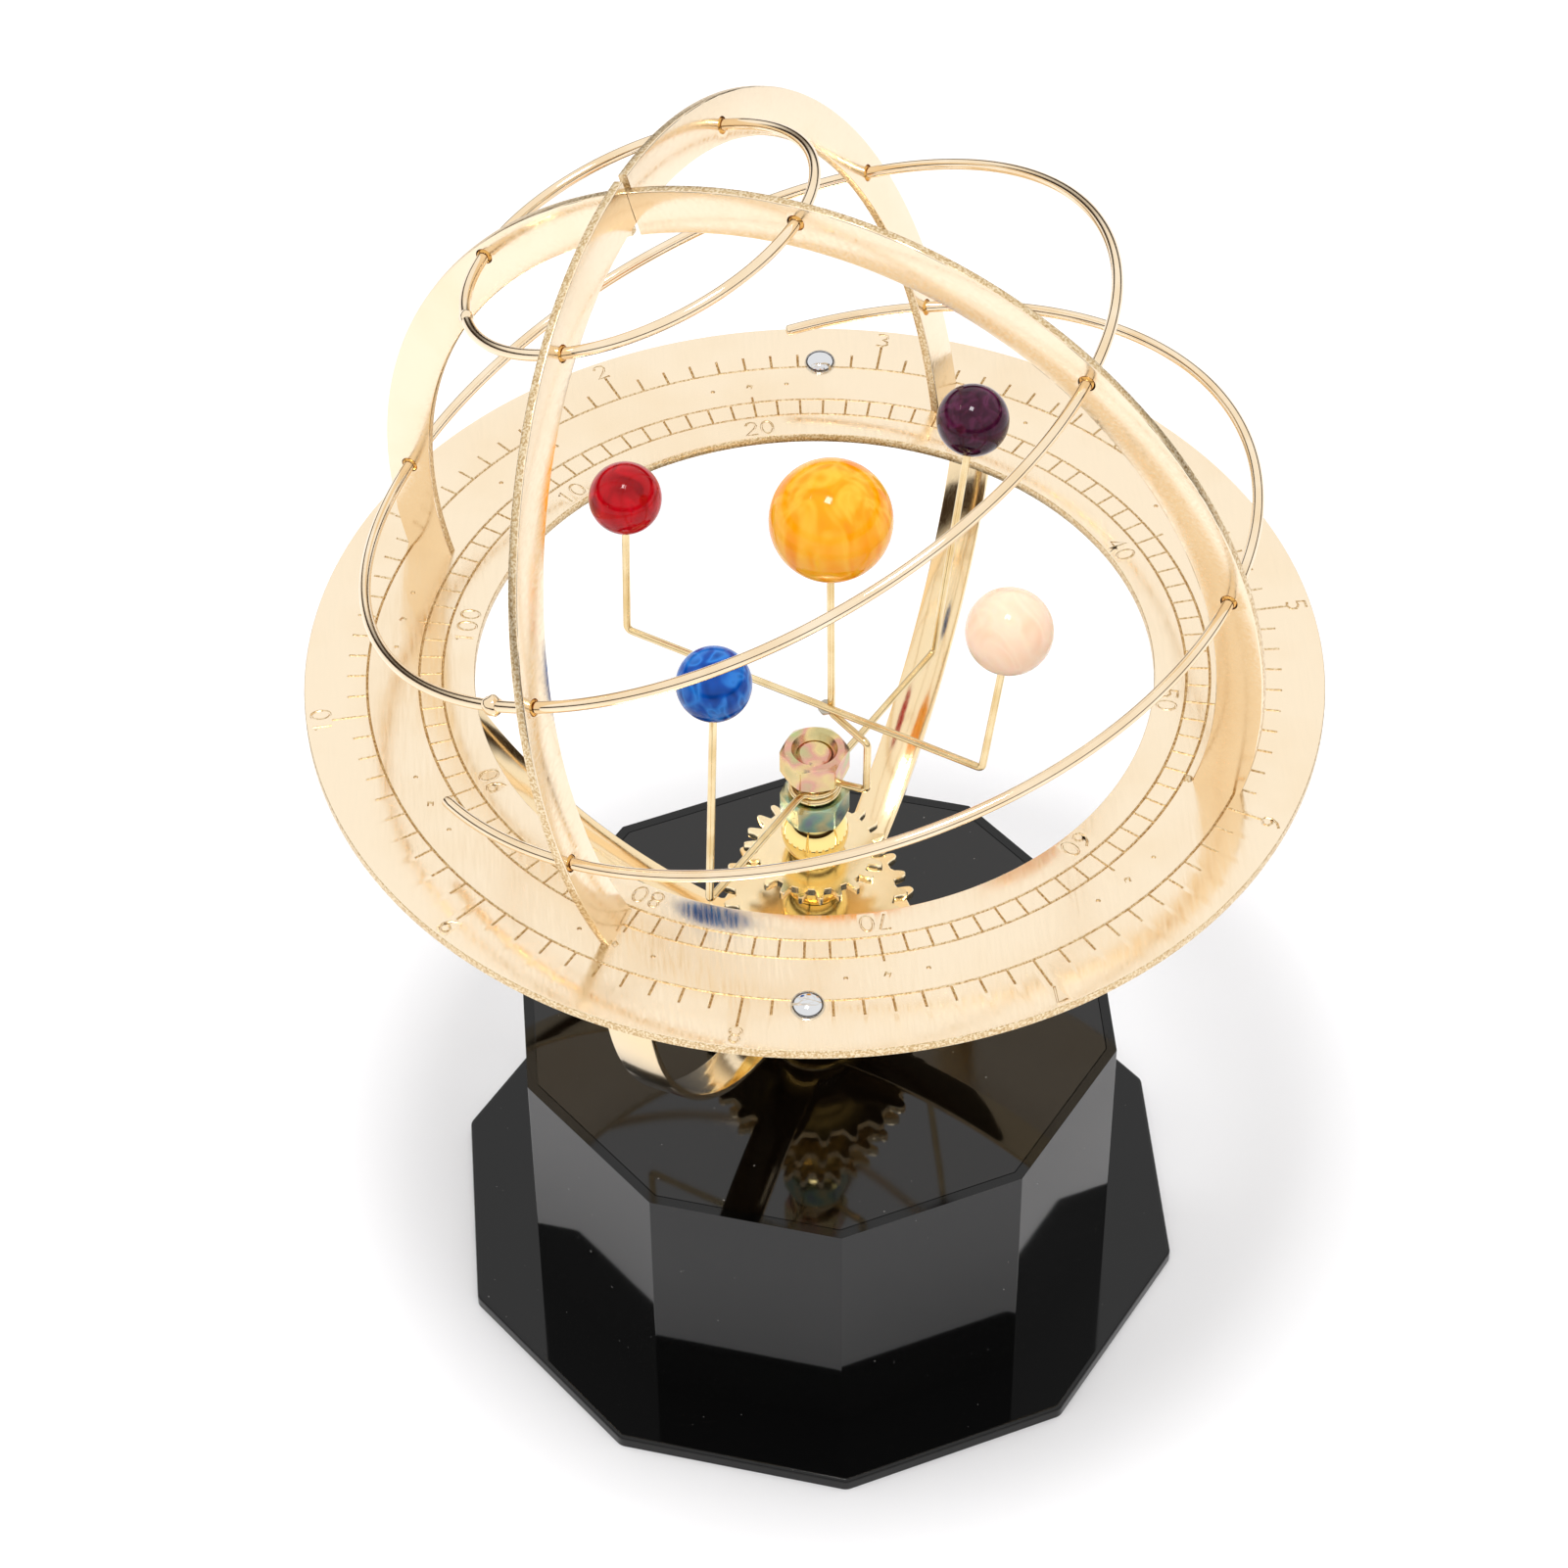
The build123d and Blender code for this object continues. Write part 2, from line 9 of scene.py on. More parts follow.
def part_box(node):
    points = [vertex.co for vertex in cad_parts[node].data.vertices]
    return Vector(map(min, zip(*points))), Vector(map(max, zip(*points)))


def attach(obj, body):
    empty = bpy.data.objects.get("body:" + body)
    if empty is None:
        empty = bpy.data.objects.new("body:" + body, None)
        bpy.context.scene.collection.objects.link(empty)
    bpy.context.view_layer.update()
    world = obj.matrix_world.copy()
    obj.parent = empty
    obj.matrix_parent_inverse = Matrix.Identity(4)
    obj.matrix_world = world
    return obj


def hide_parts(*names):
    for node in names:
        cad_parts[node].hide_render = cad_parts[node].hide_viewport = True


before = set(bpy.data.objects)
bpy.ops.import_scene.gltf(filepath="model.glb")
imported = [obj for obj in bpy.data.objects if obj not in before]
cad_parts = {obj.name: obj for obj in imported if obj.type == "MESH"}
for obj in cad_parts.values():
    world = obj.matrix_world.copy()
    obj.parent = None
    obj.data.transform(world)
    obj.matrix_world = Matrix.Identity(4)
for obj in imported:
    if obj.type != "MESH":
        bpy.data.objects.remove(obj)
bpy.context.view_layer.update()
mm = 0.001
upwards = Vector((0, 0, 1))


# Helpers: places

def lowOf(node):
    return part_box(node)[0].z / mm


def highOf(node):
    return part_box(node)[1].z / mm


def middleOf(node):
    low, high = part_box(node)
    return (low + high) / 2 / mm


def radiusOf(node):
    low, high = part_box(node)
    return (high.x - low.x) / 2 / mm


def polar(radius, yaw, z=0.0):
    return Vector((radius * cos(radians(yaw)), radius * sin(radians(yaw)), z))


# Helpers: meshes

def plainObject(name, meshParts):
    verts, faces = meshParts
    mesh = bpy.data.meshes.new(name)
    mesh.from_pydata([Vector(v) * mm for v in verts], [], faces)
    piece = bpy.data.objects.new(name, mesh)
    bpy.context.scene.collection.objects.link(piece)
    return piece


def addPiece(name, meshParts, body, nodes, material, sharpAngle):
    piece = plainObject(name, meshParts)
    piece.data.validate()
    finishPiece(piece, body, nodes, material, sharpAngle)


def finishPiece(piece, body, nodes, material, sharpAngle):
    shadeByAngle(piece, sharpAngle)
    piece.data.materials.clear()
    piece.data.materials.append(material)
    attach(piece, body)
    if nodes:
        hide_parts(*nodes)


def edgeMaterial(piece, facing, limit):
    # Faces turned away from the sheet's own direction get the edge finish.
    piece.data.materials.append(edgeGold)
    for polygon in piece.data.polygons:
        if abs(polygon.normal.dot(facing)) < limit:
            polygon.material_index = 1


def shadeByAngle(piece, sharpAngle):
    mesh = piece.data
    edgeFaces = {}
    for polygon in mesh.polygons:
        polygon.use_smooth = True
        for key in polygon.edge_keys:
            edgeFaces.setdefault(key, []).append(polygon.normal.copy())
    limit = cos(radians(sharpAngle))
    for edge in mesh.edges:
        normals = edgeFaces.get(edge.key, [])
        edge.use_edge_sharp = len(normals) != 2 or normals[0].dot(normals[1]) < limit


def stackLoops(loops, wrap=False, caps=True):
    # Loops of equal count become a skin; wrap joins the last loop to the first.
    count = len(loops[0])
    verts = [point for loop in loops for point in loop]
    faces = []
    steps = len(loops) if wrap else len(loops) - 1
    for row in range(steps):
        here, above = row * count, (row + 1) % len(loops) * count
        for column in range(count):
            side = (column + 1) % count
            faces.append((here + column, here + side, above + side, above + column))
    if caps and not wrap:
        faces.append(tuple(reversed(range(count))))
        faces.append(tuple(range((len(loops) - 1) * count, len(loops) * count)))
    return verts, faces


def latheLoops(profile, segments, centre=Vector(), yaw=0.0):
    # A level loop of points for each (radius, height).
    steps = range(segments)
    return [[centre + polar(radius, 360 * i / segments + yaw, z) for i in steps] for radius, z in profile]


def roundedPath(points, bend, steps=8):
    # Straight runs joined by arcs of one radius.
    path = [Vector(points[0])]
    for before, corner, after in zip(points, points[1:], points[2:]):
        before, corner, after = Vector(before), Vector(corner), Vector(after)
        back = (before - corner).normalized()
        ahead = (after - corner).normalized()
        half = back.angle(ahead) / 2
        reach = bend / (sin(half) / cos(half))
        centre = corner + (back + ahead).normalized() * (bend / sin(half))
        first = corner + back * reach - centre
        last = corner + ahead * reach - centre
        for i in range(steps + 1):
            path.append(centre + first.slerp(last, i / steps))
    path.append(Vector(points[-1]))
    return path


def tubeLoops(path, radius, sides=16, closed=False, roundEnds=True):
    # Rings of points along a path; each frame is carried from the one before.
    count = len(path)
    tangents = []
    for i in range(count):
        ahead = path[(i + 1) % count] if closed or i < count - 1 else path[i]
        back = path[i - 1] if closed or i > 0 else path[i]
        tangents.append((ahead - back).normalized())
    # A rounded end is a flattened dome: (distance past the end, share of the radius).
    flatness = 0.6
    dome = [((1 - share) * radius * flatness, sqrt(1 - (1 - share) ** 2)) for share in (0.08, 0.35, 0.7)]
    normal = tangents[0].orthogonal().normalized()
    loops = []
    for i in range(count):
        normal = (normal - tangents[i] * normal.dot(tangents[i])).normalized()
        side = tangents[i].cross(normal)
        spots = [(0.0, 1.0)]
        if roundEnds and not closed and i == 0:
            spots = [(-offset, size) for offset, size in dome] + spots
        if roundEnds and not closed and i == count - 1:
            spots = spots + dome[::-1]
        for offset, size in spots:
            centre = path[i] + tangents[i] * offset
            turns = [2 * pi * k / sides for k in range(sides)]
            loops.append([centre + (normal * cos(a) + side * sin(a)) * radius * size for a in turns])
    return loops


def roundedSection(width, height, corner, steps):
    # Rounded rectangle about its centre, as (across, up) pairs.
    points = []
    for quarter, (signX, signY) in enumerate(((1, 1), (-1, 1), (-1, -1), (1, -1))):
        centreX = signX * (width / 2 - corner)
        centreY = signY * (height / 2 - corner)
        for i in range(steps + 1):
            angle = pi / 2 * (quarter + i / steps)
            points.append((centreX + corner * cos(angle), centreY + corner * sin(angle)))
    return points


def joinMeshes(parts):
    # Several (verts, faces) into one.
    verts, faces = [], []
    for partVerts, partFaces in parts:
        start = len(verts)
        verts.extend(partVerts)
        faces.extend(tuple(start + i for i in face) for face in partFaces)
    return verts, faces


def carve(piece, cutterMesh):
    # Cuts a (verts, faces) mesh out of the piece; its shapes don't touch each other.
    cutter = plainObject("cutter", cutterMesh)
    modifier = piece.modifiers.new("carve", "BOOLEAN")
    modifier.operation = "DIFFERENCE"
    modifier.solver = "MANIFOLD"
    modifier.object = cutter
    bpy.context.view_layer.update()
    graph = bpy.context.evaluated_depsgraph_get()
    result = bpy.data.meshes.new_from_object(piece.evaluated_get(graph))
    piece.modifiers.clear()
    piece.data = result
    bpy.data.objects.remove(cutter)
    if not result.polygons:
        raise RuntimeError("nothing left of " + piece.name)


def boxMesh(centre, axes, sizes):
    wide, high, deep = (axis * size for axis, size in zip(axes, sizes))
    square = ((-0.5, -0.5), (0.5, -0.5), (0.5, 0.5), (-0.5, 0.5))
    verts = [centre + wide * x + high * y + deep * z for z in (-0.5, 0.5) for x, y in square]
    faces = [(0, 3, 2, 1), (4, 5, 6, 7), (0, 1, 5, 4), (1, 2, 6, 5), (2, 3, 7, 6), (3, 0, 4, 7)]
    return verts, faces


# Helpers: materials

def toLinear(hexColour):
    values = [int(hexColour[i:i + 2], 16) / 255 for i in (0, 2, 4)]
    return [v / 12.92 if v <= 0.04045 else ((v + 0.055) / 1.055) ** 2.4 for v in values] + [1.0]


def addNode(tree, kind, settings=None, links=None):
    node = tree.nodes.new(kind)
    for key, value in (settings or {}).items():
        if isinstance(key, int) or key in node.inputs:
            node.inputs[key].default_value = value
        else:
            setattr(node, key, value)
    for key, source in (links or {}).items():
        tree.links.new(source, node.inputs[key])
    return node


def newMaterial(name, base, metallic, roughness, **sockets):
    material = bpy.data.materials.new(name)
    material.use_nodes = True
    tree = material.node_tree
    tree.nodes.clear()
    shader = addNode(tree, "ShaderNodeBsdfPrincipled", {
        "Base Color": toLinear(base), "Metallic": metallic, "Roughness": roughness, **sockets
    })
    addNode(tree, "ShaderNodeOutputMaterial", links={"Surface": shader.outputs[0]})
    space = addNode(tree, "ShaderNodeTexCoord")
    return material, tree, shader, space.outputs["Object"]


def colourRamp(tree, source, stops):
    ramp = addNode(tree, "ShaderNodeValToRGB", links={"Fac": source})
    elements = ramp.color_ramp.elements
    while len(elements) < len(stops):
        elements.new(0.5)
    for element, (position, hexColour) in zip(elements, stops):
        element.position = position
        element.color = toLinear(hexColour)
    return ramp.outputs["Color"]


def spread(tree, source, low, high, fromLow=0.0, fromHigh=1.0):
    # A value carried from one range to another.
    node = addNode(tree, "ShaderNodeMapRange", {
        "From Min": fromLow, "From Max": fromHigh, "To Min": low, "To Max": high
    }, {"Value": source})
    return node.outputs["Result"]


def noiseNode(tree, space, size, detail, stretch=(1, 1, 1), turn=(0, 0, 0), rough=0.5, distortion=0.0):
    # Size is the width of the pattern's features in millimetres.
    mapping = addNode(tree, "ShaderNodeMapping", {
        "Rotation": [radians(v) for v in turn], "Scale": stretch
    }, {"Vector": space})
    texture = addNode(tree, "ShaderNodeTexNoise", {
        "Scale": 1 / (size * mm), "Detail": detail, "Roughness": rough, "Distortion": distortion
    }, {"Vector": mapping.outputs[0]})
    return texture.outputs["Fac"]


def bumpFrom(shader, height, depth, strength):
    # Depth of the relief in millimetres.
    tree = shader.id_data
    node = addNode(tree, "ShaderNodeBump", {"Strength": strength, "Distance": depth * mm}, {"Height": height})
    tree.links.new(node.outputs[0], shader.inputs["Normal"])


def colourFrom(shader, source):
    shader.id_data.links.new(source, shader.inputs["Base Color"])


def roughnessFrom(shader, source, *limits):
    tree = shader.id_data
    tree.links.new(spread(tree, source, *limits), shader.inputs["Roughness"])


# Materials

def brushedGoldSheet(name, turn):
    # Brass sheet, belt-brushed slantwise and flash plated in pale gold: champagne colour,
    # satin, with fine slanting hatch that shows wherever something is mirrored in it.
    values = {
        "base": "F6E4C8", "shade": "EDD3AC", "cloud": 16.0,
        "hatchWidth": 0.5, "hatchLength": 6.0, "hatchDepth": 0.008,
    }
    material, tree, shader, space = newMaterial(name, values["base"], 1.0, 0.2)
    ratio = values["hatchWidth"] / values["hatchLength"]
    hatch = noiseNode(tree, space, values["hatchWidth"], detail=3.0, stretch=(1, ratio, 1), turn=turn)
    cloud = noiseNode(tree, space, values["cloud"], detail=3.0)
    tint = addNode(tree, "ShaderNodeMix", {
        "data_type": "RGBA", 6: toLinear(values["base"]), 7: toLinear(values["shade"])
    }, {0: spread(tree, cloud, 0.0, 0.35, 0.45, 0.75)})
    colourFrom(shader, tint.outputs[2])
    roughnessFrom(shader, hatch, 0.12, 0.24, 0.35, 0.65)
    bumpFrom(shader, hatch, values["hatchDepth"], strength=0.3)
    return material


def shearedGoldEdge():
    # Edges and pressed lines of the same sheet: torn by the die, so rougher, darker and grainy.
    material, tree, shader, space = newMaterial("shearedGoldEdge", "C9A777", 1.0, 0.36)
    grain = noiseNode(tree, space, size=0.35, detail=2.0)
    tint = colourRamp(tree, grain, [(0.38, "C2A274"), (0.5, "DAC095"), (0.62, "EEDDBD")])
    colourFrom(shader, tint)
    roughnessFrom(shader, grain, 0.2, 0.45)
    bumpFrom(shader, grain, depth=0.015, strength=0.5)
    return material


def polishedGoldStrip():
    # Thin brass strip, rolled and bright plated: mirror like, with long shallow roll waves.
    material, tree, shader, space = newMaterial("polishedGoldStrip", "F2DAB0", 1.0, 0.07)
    wave = noiseNode(tree, space, size=9.0, detail=2.0)
    scratch = noiseNode(tree, space, size=0.3, detail=3.0, stretch=(1, 1, 0.05))
    roughnessFrom(shader, scratch, 0.04, 0.16)
    bumpFrom(shader, wave, depth=0.15, strength=0.35)
    return material


def roseGoldWire():
    # Drawn brass wire with rose gold plating: polished, faint die lines.
    material, tree, shader, space = newMaterial("roseGoldWire", "F3DFC0", 1.0, 0.1)
    grain = noiseNode(tree, space, size=0.5, detail=3.0)
    roughnessFrom(shader, grain, 0.04, 0.12)
    tint = colourRamp(tree, noiseNode(tree, space, size=9.0, detail=2.0), [(0.3, "F6E4C8"), (0.7, "EED5B0")])
    colourFrom(shader, tint)
    bumpFrom(shader, grain, depth=0.01, strength=0.3)
    return material


def armWireGold():
    # Thin hard brass wire, pale gold plated and hand bent.
    material, tree, shader, space = newMaterial("armWireGold", "E9D2A0", 1.0, 0.16)
    grain = noiseNode(tree, space, size=0.6, detail=3.0)
    roughnessFrom(shader, grain, 0.1, 0.26)
    tint = colourRamp(tree, noiseNode(tree, space, size=6.0, detail=2.0), [(0.3, "EFDBB0"), (0.7, "D9BC86")])
    colourFrom(shader, tint)
    return material


def stampedGearGold():
    # Stamped brass wheels with a tumbled, gold plated face: soft mirror with tiny dents.
    material, tree, shader, space = newMaterial("stampedGearGold", "F4DFB6", 1.0, 0.16)
    dents = noiseNode(tree, space, size=1.6, detail=4.0)
    roughnessFrom(shader, dents, 0.08, 0.26)
    bumpFrom(shader, dents, depth=0.02, strength=0.35)
    return material


def mirrorGoldBead():
    # Turned brass spacer, mirror polished and bright gold plated: deep yellow.
    material, tree, shader, space = newMaterial("mirrorGoldBead", "F3D98C", 1.0, 0.03)
    haze = noiseNode(tree, space, size=2.5, detail=3.0)
    roughnessFrom(shader, haze, 0.015, 0.06)
    return material


def passivatedZinc(name, stops):
    # Steel nut with chromate over zinc: thin film colours that drift across the flats.
    material, tree, shader, space = newMaterial(name, stops[0][1], 1.0, 0.26)
    drift = noiseNode(tree, space, size=5.0, detail=1.5)
    colourFrom(shader, colourRamp(tree, drift, stops))
    grit = noiseNode(tree, space, size=0.5, detail=4.0)
    roughnessFrom(shader, grit, 0.14, 0.3)
    bumpFrom(shader, grit, depth=0.006, strength=0.3)
    return material


def plainMetal(name, base, roughness, grain):
    # Machined, headed or soldered metal: even, with fine tool marks.
    material, tree, shader, space = newMaterial(name, base, 1.0, roughness)
    marks = noiseNode(tree, space, grain, detail=3.0)
    roughnessFrom(shader, marks, roughness * 0.6, roughness * 1.5)
    bumpFrom(shader, marks, depth=0.012, strength=0.4)
    return material


def glossAbs(name, base, roughness, level):
    # Moulded ABS off a polished tool: black piano gloss with faint flow waves and specks of dust.
    material, tree, shader, space = newMaterial(
        name, base, 0.0, roughness, **{"IOR": 1.5, "Specular IOR Level": level}
    )
    wave = noiseNode(tree, space, size=16.0, detail=1.0)
    smear = noiseNode(tree, space, size=30.0, detail=4.0)
    roughnessFrom(shader, smear, roughness * 0.6, roughness * 1.7)
    bumpFrom(shader, wave, depth=0.05, strength=0.3)
    dust = noiseNode(tree, space, size=0.9, detail=1.0)
    specks = addNode(tree, "ShaderNodeMix", {
        "data_type": "RGBA", 6: toLinear(base), 7: toLinear("8C8A88")
    }, {0: spread(tree, dust, 0.0, 1.0, 0.8, 0.84)})
    colourFrom(shader, specks.outputs[2])
    return material


def mattAbs():
    # Unpolished moulding of the hidden cover: matt, with spark-eroded grain.
    material, tree, shader, space = newMaterial("mattAbs", "1B1B1D", 0.0, 0.6, **{"IOR": 1.53})
    grain = noiseNode(tree, space, size=0.4, detail=4.0)
    bumpFrom(shader, grain, depth=0.05, strength=0.6)
    roughnessFrom(shader, grain, 0.5, 0.75)
    return material


def swirledGlass(name, stops, size, cloudy, cloudDepth, stretch=(1, 1, 1), turn=(0, 0, 0), detail=1.0):
    # Pressed and fire-polished glass ball: colour streaks under a clear skin, a little cloudy inside.
    material, tree, shader, space = newMaterial(name, stops[0][1], 0.0, 0.03, **{
        "IOR": 1.5, "Specular IOR Level": 0.22,
        "Subsurface Weight": cloudy, "Subsurface Scale": cloudDepth * mm,
    })
    bend = noiseNode(tree, space, size * 1.6, 2.0, stretch, turn, distortion=0.6)
    streak = noiseNode(tree, space, size, detail, stretch, turn, rough=0.45, distortion=1.6)
    blend = addNode(tree, "ShaderNodeMix", {0: 0.35}, {2: streak, 3: bend})
    colourFrom(shader, colourRamp(tree, blend.outputs[0], stops))
    return material


ringGold = brushedGoldSheet("brushedGoldRing", (0, 0, -28))
uprightGold = brushedGoldSheet("brushedGoldUpright", (90, 0, 152))
leaningGold = brushedGoldSheet("brushedGoldLeaning", (90, 30, 62))
edgeGold = shearedGoldEdge()
stripGold = polishedGoldStrip()
wireGold = roseGoldWire()
armGold = armWireGold()
gearGold = stampedGearGold()
beadGold = mirrorGoldBead()
yellowZinc = passivatedZinc(
    "yellowPassivatedZinc", [(0.3, "C9BE8A"), (0.45, "E6CF96"), (0.55, "DFA898"), (0.7, "BCC48C")]
)
greenZinc = passivatedZinc(
    "greenPassivatedZinc", [(0.3, "7F8F8A"), (0.45, "C9BE8E"), (0.56, "8FB09A"), (0.7, "8C7FA0")]
)
chrome = plainMetal("headedChrome", "D9DADC", roughness=0.07, grain=0.6)
turnedSteel = plainMetal("turnedSteel", "B9B8B5", roughness=0.25, grain=0.4)
screwSteel = plainMetal("platedScrew", "A9AAAE", roughness=0.3, grain=0.4)
solderGrey = plainMetal("tinSolder", "B8B2A4", roughness=0.35, grain=0.5)
solderGold = plainMetal("platedSolder", "DDA85C", roughness=0.22, grain=0.5)
baseBlack = glossAbs("pianoBlackAbs", "040404", roughness=0.05, level=0.36)
plateBlack = glossAbs("smokedGlossPlate", "080503", roughness=0.035, level=0.5)
coverBlack = mattAbs()
amberGlass = swirledGlass(
    "amberGlass", [(0.32, "F28C00"), (0.46, "FBA008"), (0.56, "FFBA38"), (0.7, "F89A04")],
    size=5.5, stretch=(1, 1, 0.16), turn=(0, 8, 0), cloudy=0.25, cloudDepth=4.0
)
rubyGlass = swirledGlass(
    "rubyGlass", [(0.3, "7E000A"), (0.5, "AE0714"), (0.6, "C40A1A"), (0.72, "8E000C")],
    size=5.0, stretch=(1, 1, 0.6), turn=(0, 40, 20), cloudy=0.2, cloudDepth=3.0
)
creamGlass = swirledGlass(
    "creamGlass", [(0.3, "F3CDAF"), (0.5, "F8DCC2"), (0.7, "F6D2B6")],
    size=5.0, stretch=(1, 1, 0.6), cloudy=0.4, cloudDepth=4.0
)
blueGlass = swirledGlass(
    "blueGlass", [(0.3, "042C70"), (0.46, "0A4AA4"), (0.56, "2A78CC"), (0.66, "083888")],
    size=4.6, stretch=(1, 1, 0.5), turn=(30, 20, 0), cloudy=0.15, cloudDepth=3.0
)
amethystGlass = swirledGlass(
    "amethystGlass", [(0.3, "1D0616"), (0.5, "3A1028"), (0.62, "552040"), (0.75, "280A1C")],
    size=3.4, turn=(0, 0, 30), detail=2.0, cloudy=0.1, cloudDepth=3.0
)
print("materials made")


# Scale ring: stamped sheet with pressed scales, numbers and small generic marks

scaleRing = {
    "outer": 80.0, "inner": 53.3, "edge": 0.22, "divisions": 100,
    "outerCircle": 70.14, "shortTick": 73.3, "longTick": 76.0, "outerStart": 184.8, "outerNumbers": 77.6,
    "innerCircles": (58.35, 62.0), "ladderTick": 63.4, "innerStart": 166.79, "innerNumbers": 55.6,
    "markCircle": 66.0, "markSpread": 5.4, "diamondSize": 0.75, "dotSize": 0.4,
    "grooveWidth": 0.5, "grooveDepth": 0.26, "digitHeight": 3.0, "digitWidth": 1.9, "digitGap": 0.75,
    "pinHole": (55.0, -29.9), "pinHoleRadius": 0.8,
}
cutLift = 0.05  # Engraving cutters start this far above the face

# Digits as strokes on a grid 2 wide and 3 high, for a rounded engraving cutter
digitStrokes = {
    "0": [[(1 + cos(radians(a)), 1.5 + 1.5 * sin(radians(a))) for a in range(0, 361, 20)]],
    "1": [[(0.5, 2.4), (1.1, 3), (1.1, 0)]],
    "2": [[(0.1, 2.3), (0.4, 2.85), (1, 3), (1.7, 2.8), (1.9, 2.2), (1.6, 1.5), (0, 0), (2, 0)]],
    "3": [[
        (0.1, 2.8), (0.9, 3), (1.7, 2.75), (1.8, 2.1), (1.0, 1.6), (1.8, 1.2), (1.9, 0.5), (1.1, 0), (0, 0.2)
    ]],
    "4": [[(1.4, 0), (1.4, 3), (0, 0.9), (2, 0.9)]],
    "5": [[(1.8, 3), (0.3, 3), (0.2, 1.7), (1.1, 1.85), (1.8, 1.4), (1.8, 0.5), (1.0, 0), (0.1, 0.2)]],
    "6": [[
        (1.6, 2.9), (0.7, 2.3), (0.1, 1.2), (0.3, 0.3), (1, 0), (1.8, 0.4), (1.8, 1.2), (1, 1.6), (0.3, 1.2)
    ]],
    "7": [[(0.1, 3), (1.9, 3), (0.8, 0)]],
    "8": [
        [(1 + 0.72 * cos(radians(a)), 2.28 + 0.68 * sin(radians(a))) for a in range(0, 361, 24)],
        [(1 + 0.92 * cos(radians(a)), 0.8 + 0.8 * sin(radians(a))) for a in range(0, 361, 24)],
    ],
    "9": [[
        (0.4, 0.1), (1.3, 0.7), (1.9, 1.8), (1.7, 2.7), (1, 3), (0.2, 2.6), (0.2, 1.8), (1, 1.4), (1.7, 1.8)
    ]],
}


def grooveCircle(radius, top, width, depth):
    edge = top + cutLift
    profile = [(radius - width / 2, edge), (radius, top - depth), (radius + width / 2, edge)]
    return stackLoops(latheLoops(profile, 360), wrap=True)


def grooveRun(start, end, top, width, depth):
    # V-shaped cutter along a straight line on the ring's face, its ends sloping in.
    along = (end - start).normalized()
    side = Vector((-along.y, along.x, 0)) * width / 2
    up = Vector((0, 0, cutLift))
    down = Vector((0, 0, -depth))
    inset = along * width * 0.4
    verts = [
        start + side + up, start - side + up, start + inset + down,
        end + side + up, end - side + up, end - inset + down,
    ]
    verts = [Vector((v.x, v.y, v.z + top)) for v in verts]
    faces = [(0, 2, 1), (3, 4, 5), (0, 1, 4, 3), (1, 2, 5, 4), (2, 0, 3, 5)]
    return verts, faces


def digitGrooves(text, radius, yaw, top, values):
    # Tubes along the strokes of a number, its tops outwards, a little less than half sunk.
    unit = values["digitHeight"] / 3
    advance = values["digitWidth"] + values["digitGap"]
    width = advance * len(text) - values["digitGap"]
    tubeRadius = values["grooveWidth"] * 0.45
    level = Vector((0, 0, top + 0.04))
    outward = polar(1, yaw)
    rightward = polar(1, yaw - 90)
    grooves = []
    for place, letter in enumerate(text):
        for stroke in digitStrokes[letter]:
            points = []
            for x, y in stroke:
                sideways = place * advance + x / 2 * values["digitWidth"] - width / 2
                points.append(outward * (radius + (y - 1.5) * unit) + rightward * sideways + level)
            closed = (points[0] - points[-1]).length < 0.01
            if closed:
                points = points[:-1]
            grooves.append(stackLoops(tubeLoops(points, tubeRadius, 8, closed, roundEnds=False), wrap=closed))
    return grooves


def markCutters(yaw, top, values):
    # A diamond between two dots in the middle of a tenth of the ring, in place of its words and signs.
    depth = values["grooveDepth"]
    halfTenth = 360 / 10 / 2
    cutters = []
    for offset in (-values["markSpread"], 0, values["markSpread"]):
        spot = polar(values["markCircle"], yaw - halfTenth + offset, top + cutLift)
        size, around = (values["dotSize"], 12) if offset else (values["diamondSize"], 4)
        profile = [(size * 0.5, -depth - cutLift), (size, 0)]
        cutters.append(stackLoops(latheLoops(profile, around, spot, yaw)))
    return cutters


